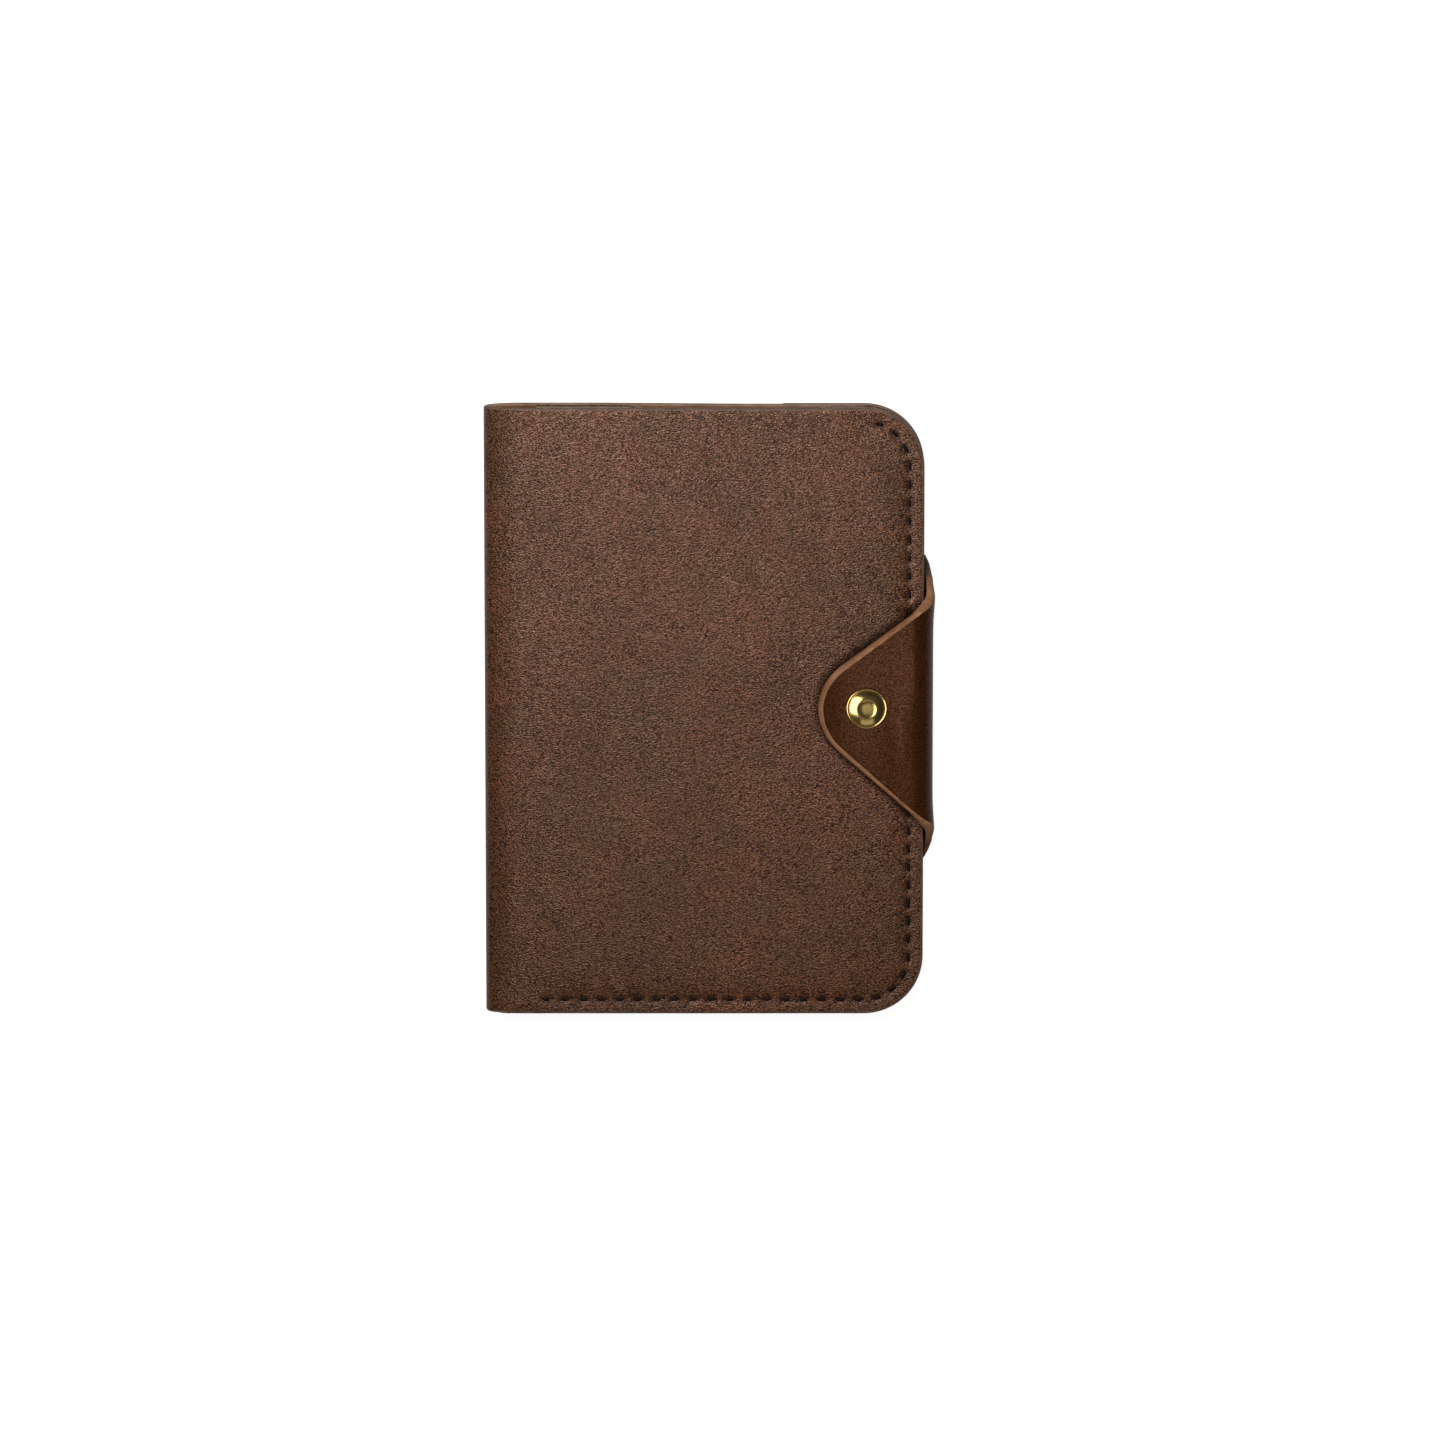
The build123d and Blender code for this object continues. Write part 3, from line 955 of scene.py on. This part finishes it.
def inner_sheet(name, y_mouth, good_z, outward):
    """A pocket or card slot. outward points from its good face to the cover behind it."""
    sheet = flat_sheet(
        name, x_pocket, x_cut, -half_height, y_mouth, good_z, outward * pocket_leather
    )
    round_edges(lambda edge: near(*(vertex.co.z for vertex in edge.verts)), sheet_round, 2)
    cut_rows((0, 1, 0), steps(-half_height + sheet_round, y_mouth - sheet_round, cell))
    cut_rows((1, 0, 0), steps(x_pocket + sheet_round, x_cut - sheet_round, cell))
    leave_edit()

    def scoop(x, y, z):
        across = min(1, abs(x - x_mouth) / mouth_half_width)
        return (1 - across**2) * ease(y, y_mouth - scoop_reach, y_mouth)

    def is_edge(center):
        depth = outward * (center.z - good_z)
        return 0.01 * mm < depth < pocket_leather - 0.01 * mm

    def marks(x, y, z):
        return stitch_mark(x, y, phase=1) if abs(z - good_z) < 0.1 * mm else 0

    # Darkened stitch marks: crushed leather and painted shade in the pits.
    keep_weight(sheet, "pressed", marks)
    # The sheets' cut edges take the lighter brown: painted light in the shade between the covers.
    finish_faces(
        sheet, lambda center, normal: normal.z * outward < 0, is_edge,
        pocket_grain, edge_painted_lighter, flesh,
    )
    press(sheet, "finger_scoop", scoop, -mouth_scoop, "Y")
    return sheet


# %% The four sheets inside
y_slot_mouth = slot_high.y
margin_gap = 0.02 * mm
pocket_pull = z_front - cover_leather - pocket_high.z - margin_gap
slot_pull = pocket_pull + pocket_low.z - slot_high.z - margin_gap
front_pocket = inner_sheet("front_pocket_leather", half_height, pocket_low.z, 1)
front_slot = inner_sheet("front_card_slot_leather", y_slot_mouth, slot_low.z, 1)
back_pocket = inner_sheet("back_pocket_leather", half_height, z_front - pocket_low.z, -1)
back_slot = inner_sheet("back_card_slot_leather", y_slot_mouth, z_front - slot_low.z, -1)
for sheet, node, pull in (
    (front_pocket, "front_pocket", pocket_pull), (front_slot, "front_card_slot", slot_pull),
):
    press(sheet, "pulled_tight", pulled_tight, pull, "Z")
    slack(sheet)
    smooth(sheet)
    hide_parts(node)
    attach(sheet, "front_half")
for sheet, node, pull in (
    (back_pocket, "back_pocket", pocket_pull), (back_slot, "back_card_slot", slot_pull),
):
    press(sheet, "pulled_tight", pulled_tight, -pull, "Z")
    press(sheet, "over_strap_base", lambda x, y, z: rise(x), strap_leather, "Z")
    smooth(sheet)
    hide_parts(node)
    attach(sheet, "back_half")

# %% [markdown]
# ## The strap
# The strap is one thicker piece of leather. Its base is sewn under the back cover, it turns up
# round the cut side, narrows, turns again over the front, and ends in a round tip. Its edges
# are bevelled and left raw, so they show as a paler line. It is made as two pieces that meet
# halfway up the side, because each of them bends at one fold only.


# %% The strap's width and its outward side, at any place along it
def half_width(side, x, z):
    """How far the strap reaches to one side, measured on its outer face."""
    if z > z_fold:
        turn = atan2(max(0, x - x_fold), z - z_fold)
        x, z = x_fold + upper_bend * sin(turn), z_fold + upper_bend * cos(turn)
        if turn < pi / 4:
            return turn_half - slopes[side] * (x_parting - x)
    elif z < lower_bend:
        turn = atan2(max(0, x - x_cut), lower_bend - z)
        z = lower_bend - lower_bend * cos(turn)
    return turn_half + wall_slope * (z_parting - z)


def strap_outward(place):
    """Points from the strap's flesh side to its grain side."""
    if place.x > x_fold and place.z > z_fold:
        return Vector((place.x - x_fold, 0, place.z - z_fold)).normalized()
    if place.x > x_cut and place.z < lower_bend:
        return Vector((place.x - x_cut, 0, place.z - lower_bend)).normalized()
    if place.z > z_fold:
        return Vector((0, 0, 1))
    return Vector((1, 0, 0)) if place.x > x_cut else Vector((0, 0, -1))


def on_grain_side(place):
    """True on the strap's outer face: the table side, the wall, the top, and the two bends."""
    if place.x > x_fold and place.z > z_fold:
        return near(hypot(place.x - x_fold, place.z - z_fold), upper_bend)
    if place.x > x_cut and place.z < lower_bend:
        return near(hypot(place.x - x_cut, place.z - lower_bend), lower_bend)
    return near(place.z, z_strap) or near(place.x, x_wall) or near(place.z, 0)


strap_cell_across, strap_cell_along = 1.5 * mm, 1.2 * mm


def finish_strap(strap):
    """Bevels the raw edges of a strap piece and gives each face its finish."""
    def ends_halfway(edge):
        return all(near(vertex.co.z, z_halfway) for vertex in edge.verts)

    def grain_edge(edge):
        return all(on_grain_side(vertex.co) for vertex in edge.verts) and not ends_halfway(edge)

    round_edges(grain_edge, strap_bevel, 4)
    cut_rows((0, 1, 0), steps(-half_height, half_height, strap_cell_across))
    cut_rows((1, 0, 0), steps(x_base, x_fold, strap_cell_along))
    leave_edit()
    for material in (strap_grain, raw_edge, flesh):
        strap.data.materials.append(material)
    for face in strap.data.polygons:
        facing = face.normal.dot(strap_outward(face.center))
        face.material_index = 0 if facing > 0.99 else 2 if facing < -0.99 else 1


# %% [markdown]
# The tab starts as a plane whose far corners are merged into one point, where its two straight
# flanks would meet. Bevelling that single vertex gives the round tip. The strap's thickness is
# extruded, and its end is spun round the fold and drawn down the side.

# %% The tab and the upper half of the side
fold_half = {side: turn_half - slopes[side] * (x_parting - x_fold) for side in (1, -1)}
point_run = (fold_half[1] + fold_half[-1]) / (slopes[1] + slopes[-1])
x_point = x_fold - point_run
y_point = fold_half[1] - slopes[1] * point_run
to_tip = hypot(x_tip - x_point, tip_shift - y_point)
touch_run = sqrt(to_tip**2 - tip_radius**2)

bpy.ops.object.select_all(action="DESELECT")
bpy.ops.mesh.primitive_plane_add(size=1, location=(0, 0, z_strap))
tab = bpy.context.object
tab.name = tab.data.name = "strap_tab_leather"
bpy.ops.object.transform_apply(location=True, rotation=True, scale=True)
edit(tab, "VERT")
choose("verts", lambda vertex: vertex.co.x < 0)
bpy.ops.mesh.merge(type="CENTER")
for side in (1, -1):
    choose("verts", lambda vertex: vertex.co.x > 0.4 and vertex.co.y * side > 0.4)
    bpy.ops.transform.translate(value=(x_fold - 0.5, side * (fold_half[side] - 0.5), 0))
choose("verts", lambda vertex: vertex.co.x < -0.4)
bpy.ops.transform.translate(value=(x_point + 0.5, y_point, 0))
bpy.ops.mesh.bevel(offset=touch_run, segments=32, affect="VERTICES", clamp_overlap=False)
bpy.ops.mesh.select_all(action="SELECT")
bpy.ops.mesh.extrude_region_move(TRANSFORM_OT_translate={"value": (0, 0, -strap_leather)})
bpy.ops.mesh.select_all(action="SELECT")
bpy.ops.mesh.normals_make_consistent(inside=False)
bpy.ops.mesh.select_mode(type="FACE")
choose("faces", lambda face: near(middle(face).x, x_fold) and face.normal.x > 0.9)
bpy.ops.mesh.spin(steps=12, angle=pi / 2, axis=(0, -1, 0), center=(x_fold, 0, z_fold))
bpy.ops.mesh.extrude_region_move(
    TRANSFORM_OT_translate={"value": (0, 0, z_halfway - z_fold)}
)
finish_strap(tab)
for vertex in tab.data.vertices:
    x, y, z = vertex.co
    if x > x_fold:
        side = 1 if y > 0 else -1
        vertex.co.y = y * half_width(side, x, z) / fold_half[side]

# %% [markdown]
# Snapped shut, the tab isn't a flat board. The stud holds it down, it swells a little where it
# turns over the edge, and past the stud its tip curls down to the cover.

# %% The tab's curl
droop_radius = 16.85 * mm
x_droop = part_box("snap_cap")[0].x - 0.35 * mm
swell_height = 0.5 * mm
swell_width = 2.8 * mm          # along X, and as far from the fold as it is wide
swell_place, swell_length = -5 * mm, 9 * mm     # along Y
flare_height = 0.4 * mm
flare_place, flare_length = 27 * mm, 4.5 * mm   # along Y, on both sides


def curl(x, y, z):
    """How far the tip hangs down, as a share of droop_radius."""
    past = max(0, x_droop - x) / droop_radius
    return 1 - sqrt(1 - past**2)


def swell(x, y, z):
    """The strap stands proud between the stud and the edge it turns over."""
    across = (x - x_fold + swell_width) / swell_width
    along = (y - swell_place) / swell_length
    return exp(-(across**2) - along**2) if z > z_fold + 2 * mm else 0


def flare(x, y, z):
    """The two corners of the strap stand out a little where it turns over the edge."""
    upright = ease(x, x_fold + 1 * mm, x_wall) * ease(z, z_halfway, z_halfway + 2 * mm)
    return upright * exp(-(((abs(y) - flare_place) / flare_length) ** 2))


press(tab, "curl", curl, -droop_radius, "Z")
press(tab, "swell", swell, swell_height, "Z")
press(tab, "flare", flare, flare_height, "X")
smooth(tab, 45)
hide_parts("strap_front", "strap_side")
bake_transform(tab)

# %% [markdown]
# The other half is the base, a strip as tall as the case under the back cover. Two cuts across
# it mark where the strap leaves its cut side, and the faces between them are spun up round the
# edge of the case.

# %% The base and the lower half of the side
root = flat_sheet(
    "strap_base_leather", x_base, x_cut, -half_height, half_height, 0, strap_leather
)
cut_rows((0, 1, 0), [-root_half, root_half])
bpy.ops.mesh.select_mode(type="FACE")
choose(
    "faces",
    lambda face: face.normal.x > 0.9 and near(middle(face).x, x_cut)
    and abs(middle(face).y) < root_half,
)
bpy.ops.mesh.spin(steps=10, angle=pi / 2, axis=(0, 1, 0), center=(x_cut, 0, lower_bend))
bpy.ops.mesh.extrude_region_move(
    TRANSFORM_OT_translate={"value": (0, 0, z_halfway - lower_bend)}
)
finish_strap(root)
for vertex in root.data.vertices:
    x, y, z = vertex.co
    vertex.co.z = max(0, z)
    if x > x_cut:
        vertex.co.y = y * half_width(1, x, z) / root_half


def base_marks(x, y, z):
    """Presses the seams into the base: the case's own seam, and one along its inner edge."""
    if z > 0.1 * mm or x > x_cut:
        return 0
    beside = x - x_base - seam_inset
    return max(stitch_mark(x, y), pit(y - round(y / seam_pitch) * seam_pitch, beside))


def lean(x, y, z):
    """The wall stands closer to the case at its foot than where it meets the tab."""
    return ease(x, x_cut, x_wall) * (1 - ease(z, 0, z_halfway))


# Towards the head the base's cut edges take the darker brown of the covers' edges, towards the
# foot the paler raw one.
root.data.materials.append(cover_edge)
for face in root.data.polygons:
    if face.material_index == 1 and face.center.y > 0:
        face.material_index = 3
wall_lean = 0.9 * mm
press(root, "lean", lean, -wall_lean, "X")
# Darkened stitch marks: crushed leather and painted shade in the pits.
keep_weight(root, "pressed", base_marks)
press(root, "stitch_pits", base_marks, -pit_depth)
smooth(root, 45)
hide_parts("strap_base")
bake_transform(root)

# %% [markdown]
# ## The seams
# The thread dives through the leather and back, so only short arcs of it show, one on the
# outside and the next on the inside. One arc is made by spinning a small eight-sided circle,
# and it is copied to every hole. Each copy is turned to the seam's heading and sunk so that its
# ends are under the leather.

# %% One stitch
thread_radius = 0.5 * mm
stitch_bow = 2.1 * mm
stitch_sink = 0.12 * mm
stitch_turn = radians(76)
bpy.ops.object.select_all(action="DESELECT")
bpy.ops.mesh.primitive_circle_add(
    vertices=8, radius=thread_radius, fill_type="NGON", rotation=(0, pi / 2, 0)
)
one_stitch = bpy.context.object
one_stitch.name = one_stitch.data.name = "one_stitch"
bpy.ops.object.transform_apply(location=True, rotation=True, scale=True)
edit(one_stitch, "FACE")
bpy.ops.mesh.select_all(action="SELECT")
bpy.ops.transform.rotate(
    value=-stitch_turn / 2, orient_axis="Y", center_override=(0, 0, -stitch_bow)
)
bpy.ops.mesh.spin(steps=6, angle=stitch_turn, axis=(0, 1, 0), center=(0, 0, -stitch_bow))
bpy.ops.mesh.select_all(action="SELECT")
bpy.ops.mesh.normals_make_consistent(inside=False)
bpy.ops.transform.translate(value=(0, 0, -thread_radius - stitch_sink))
leave_edit()
print("one stitch spans", [round(size / mm, 2) for size in one_stitch.dimensions], "mm")

# %% [markdown]
# The holes of both seams are known by now. On the outside the thread shows over every second
# gap, and inside over the gaps between those, as a running stitch does.

# %% The faces that the thread lies on
def front_outside(x, y):
    """The front cover's outer face, drawn down along the seam and bent towards the spine."""
    return z_front - margin_sink * drawn_down(x, y) - fall_depth * fall(x, y, z_front)


def back_outside(x):
    """The lowest leather of the back half: the strap's base, or the cover beside it."""
    return 0 if x > x_base else rise(x) * strap_leather


def back_inside(x, y):
    """The back half's inner face: the pocket, or the card slot on top of it."""
    sheets = 2 if y < y_slot_mouth and x > x_pocket else 1
    return cover_leather + pocket_leather * sheets + rise(x) * strap_leather + 2 * margin_gap


# %% Sew the seams
def sew(name, stitches, facing, body):
    """Copies the stitch to each (x, y, z, heading) on a face that looks up, 1, or down, -1.
    Sewn by hand, no two stitches are quite alike: each is turned and stretched a little."""
    copies = []
    for number, (x, y, z, heading) in enumerate(stitches):
        uneven = sin(number * 12.9)
        copy = one_stitch.copy()
        copy.data = one_stitch.data.copy()
        copy.location = (x, y, z)
        copy.rotation_euler = (0 if facing > 0 else pi, 0, heading + radians(5) * uneven)
        copy.scale = (1 + 0.06 * uneven, 1 - 0.08 * uneven, 1)
        bpy.context.scene.collection.objects.link(copy)
        copies.append(copy)
    bpy.ops.object.select_all(action="DESELECT")
    for copy in copies:
        copy.select_set(True)
    bpy.context.view_layer.objects.active = copies[0]
    bpy.ops.object.join()
    seam = bpy.context.object
    seam.name = seam.data.name = name
    bpy.ops.object.transform_apply(location=True, rotation=True, scale=True)
    seam.data.materials.append(thread)
    smooth(seam, 60)
    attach(seam, body)
    return seam


outside_points = [seam_point((number + 0.5) * seam_pitch) for number in range(stitch_count)]
inside_points = [seam_point(number * seam_pitch) for number in range(1, stitch_count)]
inside_points = [point for point in inside_points if point[0] > x_pocket]
z_front_inside = z_front - (cover_leather + pocket_leather + 2 * margin_gap)
sew(
    "front_seam_outside",
    [(x, y, front_outside(x, y), heading) for x, y, heading in outside_points],
    1, "front_half",
)
sew(
    "front_seam_inside",
    [(x, y, z_front_inside, heading) for x, y, heading in inside_points],
    -1, "front_half",
)
sew(
    "back_seam_outside",
    [(x, y, back_outside(x), heading) for x, y, heading in outside_points],
    -1, "back_half",
)
sew(
    "back_seam_inside",
    [(x, y, back_inside(x, y), heading) for x, y, heading in inside_points],
    1, "back_half",
)
base_stitch_count = round((half_height - seam_inset) / seam_pitch)
sew(
    "strap_base_seam",
    [
        (x_base + seam_inset, number * seam_pitch, 0, pi / 2)
        for number in range(-base_stitch_count, base_stitch_count + 1)
    ],
    -1, "back_half",
)
bpy.data.objects.remove(one_stitch)

# %% [markdown]
# ## The press stud
# Its cap is pressed from thin brass and polished: a rolled rim, a domed shoulder, and a small
# sharp ring round a shallow dish. It is drawn outwards ring by ring from a circle at its
# middle, so the dome stays perfectly round.

# %% The stud's cap
cap_low, cap_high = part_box("snap_cap")
x_stud = (cap_low.x + cap_high.x) / 2
y_stud = (cap_low.y + cap_high.y) / 2
z_top = cap_high.z
z_rim = z_strap + 0.68 * mm
profile = [
    (0.4, z_top - 0.3 * mm), (0.9, z_top - 0.28 * mm), (1.4, z_top - 0.22 * mm),
    (1.8, z_top - 0.13 * mm), (2.02, z_top - 0.05 * mm), (2.14, z_top - 0.01 * mm),
    (2.24, z_top), (2.34, z_top - 0.02 * mm), (2.5, z_top - 0.07 * mm),
    (2.8, z_top - 0.19 * mm), (3.1, z_top - 0.33 * mm), (3.4, z_top - 0.5 * mm),
    (3.7, z_top - 0.7 * mm), (3.92, z_top - 0.9 * mm), (4.06, z_top - 1.08 * mm),
    (4.12, z_rim - 0.08 * mm), (4.2, z_rim - 0.07 * mm), (4.3, z_rim - 0.01 * mm),
    (4.38, z_rim + 0.02 * mm), (4.47, z_rim + 0.01 * mm), (4.56, z_rim - 0.06 * mm),
    (4.63, z_rim - 0.18 * mm), (4.65, z_rim - 0.33 * mm), (4.61, z_rim - 0.48 * mm),
    (4.5, z_strap + 0.06 * mm), (4.3, z_strap), (1.25, z_strap),
    (1.25, z_strap - strap_leather),
]
bpy.ops.object.select_all(action="DESELECT")
first_radius, first_z = profile[0]
bpy.ops.mesh.primitive_circle_add(
    vertices=96, radius=first_radius * mm, fill_type="NGON", location=(x_stud, y_stud, first_z)
)
cap = bpy.context.object
cap.name = cap.data.name = "snap_cap_brass"
bpy.ops.object.transform_apply(location=True, rotation=True, scale=True)
edit(cap, "EDGE")
bpy.ops.mesh.select_all(action="SELECT")
for (radius, z), (next_radius, next_z) in zip(profile, profile[1:]):
    bpy.ops.mesh.extrude_edges_move(TRANSFORM_OT_translate={"value": (0, 0, next_z - z)})
    growth = next_radius / radius
    bpy.ops.transform.resize(
        value=(growth, growth, 1), center_override=(x_stud, y_stud, next_z)
    )
bpy.ops.mesh.edge_face_add()
bpy.ops.mesh.select_all(action="SELECT")
bpy.ops.mesh.normals_make_consistent(inside=False)
leave_edit()
cap.data.materials.append(brass)
smooth(cap, 50)
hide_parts("snap_cap")
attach(cap, "strap_tab")

# %% The stud's hidden parts keep their solids and get their metals
for name, metal in (
    ("snap_socket", brass), ("snap_stud", brass), ("snap_post", brass), ("snap_spring", steel),
):
    for material_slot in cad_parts[name].material_slots:
        material_slot.material = metal
    print(name, "is", metal.name)

# %% [markdown]
# ## Light and camera
# One soft lamp hangs above the case, towards its head and its spine, so that the leather's shine
# is strongest there and fades towards the foot. An even sky fills the shadows. Small lamps of
# their own serve the cover beside the spine, the strap, whose shine has to stay near the stud,
# and the stud, whose dome mirrors three of them. Light linking keeps each to its own piece. The
# floor and the sky are white to the camera. Polished brass also needs something dark to
# reflect, as in a real studio, so a dim room without a floor stands round the case, and only
# reflections can see it.

# %% The floor
floor_gap = 0.02 * mm       # just under the case, so that the two faces don't flicker
floor_glow = 0.85           # how much the paper shines by itself, to the camera
mirrored_glow = 0.1         # share of that which a reflection sees
bpy.ops.object.select_all(action="DESELECT")
bpy.ops.mesh.primitive_plane_add(size=6, location=(0, 0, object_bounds()[0].z - floor_gap))
floor = bpy.context.object
floor.name = "floor"
material, tree = new_material("white_paper_floor")
paths = add_node(tree, "ShaderNodeLightPath")
seen = add_node(
    tree, "ShaderNodeMath",
    {0: paths.outputs["Is Camera Ray"], 1: paths.outputs["Is Transmission Ray"]},
    operation="MAXIMUM",
)
# Lit paper is nearly white to a reflection already, so that needs only a little of the glow.
seen = add_node(
    tree, "ShaderNodeMath",
    {0: paths.outputs["Is Glossy Ray"], 1: mirrored_glow, 2: seen.outputs[0]},
    operation="MULTIPLY_ADD",
)
seen = add_node(
    tree, "ShaderNodeMath", {0: seen.outputs[0], 1: floor_glow}, operation="MULTIPLY"
)
matte = add_node(
    tree, "ShaderNodeBsdfPrincipled",
    {"Base Color": linear("#c8c8c6"), "Roughness": 0.9, "Specular IOR Level": 0.0},
)
glow = add_node(
    tree, "ShaderNodeEmission", {"Color": linear("#ffffff"), "Strength": seen.outputs[0]}
)
both = add_node(tree, "ShaderNodeAddShader", {0: matte.outputs[0], 1: glow.outputs[0]})
show(tree, both)
floor.data.materials.append(material)
print("the floor lies", floor_gap / mm, "mm under the case")

# %% The sky
sky_fill = 0.3              # its light on the case. The camera and reflections see full white
world = bpy.data.worlds.new("studio_sky")
bpy.context.scene.world = world
world.use_nodes = True
tree = world.node_tree
tree.nodes.clear()
paths = add_node(tree, "ShaderNodeLightPath")
white_rays = add_node(
    tree, "ShaderNodeMath",
    {0: paths.outputs["Is Camera Ray"], 1: paths.outputs["Is Glossy Ray"]}, operation="MAXIMUM",
)
white_rays = add_node(
    tree, "ShaderNodeMath",
    {0: white_rays.outputs[0], 1: paths.outputs["Is Transmission Ray"]}, operation="MAXIMUM",
)
level = add_node(
    tree, "ShaderNodeMapRange",
    {"Value": white_rays.outputs[0], "To Min": sky_fill, "To Max": 1.0},
)
sky = add_node(
    tree, "ShaderNodeBackground",
    {"Color": linear("#ffffff"), "Strength": level.outputs["Result"]},
)
add_node(tree, "ShaderNodeOutputWorld", {"Surface": sky.outputs[0]})
print("the sky lights the case at", sky_fill)

# %% The dim room that the stud reflects
room_width, room_height = 3, 1.6
bpy.ops.object.select_all(action="DESELECT")
bpy.ops.mesh.primitive_cube_add(size=1, location=(0, 0, room_height / 2))
room = bpy.context.object
room.name = "dim_room"
room.scale = (room_width, room_width, room_height)
bpy.ops.object.transform_apply(location=True, rotation=True, scale=True)
edit(room, "FACE")
choose("faces", lambda face: face.normal.z < -0.9)
bpy.ops.mesh.delete(type="FACE")
leave_edit()
for name, strength in (("dark_studio_wall", 0.05), ("grey_studio_ceiling", 0.1)):
    material, tree = new_material(name)
    show(tree, add_node(
        tree, "ShaderNodeEmission", {"Color": linear("#ffffff"), "Strength": strength}
    ))
    room.data.materials.append(material)
for face in room.data.polygons:
    face.material_index = 1 if face.normal.z > 0.9 else 0
room.visible_camera = room.visible_diffuse = room.visible_shadow = False
room.visible_transmission = False
print("the dim room is", room_width, "m wide and", room_height, "m high")

# %% Camera
target = Vector((3.84, -2.88, 10.0)) * mm
tilt = radians(10)          # it leans towards the head, so the cut edges there can be seen
distance = 2.0
eye = target + Vector((0, sin(tilt), cos(tilt))) * distance
bpy.ops.object.camera_add(location=eye, rotation=(-tilt, 0, 0))
camera = bpy.context.object
camera.data.lens = 218
camera.data.sensor_width = 36
bpy.context.scene.camera = camera
bpy.context.scene.view_settings.view_transform = "Standard"
print("the camera looks down from", round(eye.z, 2), "m, tilted", round(tilt, 3), "rad")


# %% Lamps
def soft_lamp(name, place, size, power, piece, state):
    """A square lamp that faces the case, its power in watts. state says whether it lights that
    piece alone, INCLUDE, or everything else, EXCLUDE."""
    bpy.ops.object.light_add(type="AREA", location=place)
    lamp = bpy.context.object
    lamp.name = name
    lamp.data.size = size
    lamp.data.energy = power
    lamp.rotation_euler = (-lamp.location).to_track_quat("-Z", "Y").to_euler()
    lit = bpy.data.collections.new(name + "_receivers")
    lit.objects.link(piece)
    lit.collection_objects[0].light_linking.link_state = state
    lamp.light_linking.receiver_collection = lit
    print(name, "is", size, "m wide, with", power, "W")


soft_lamp("overhead_softbox", (-0.057, 0.162, 0.33), 0.2, 1.27, cap, "EXCLUDE")
soft_lamp("cover_sidelight", (-0.1, -0.06, 0.35), 0.06, 0.05, front_cover, "INCLUDE")
soft_lamp("strap_spotlight", (0.049, -0.012, 0.113), 0.02, 0.018, tab, "INCLUDE")
soft_lamp("stud_sidelight", (-0.22, 0.03, 0.17), 0.38, 2.2, cap, "INCLUDE")
soft_lamp("stud_footlight", (0.05, -0.5, 0.24), 0.4, 0.3, cap, "INCLUDE")
soft_lamp("stud_toplight", (0.04, -0.2, 1.0), 0.5, 0.35, cap, "INCLUDE")
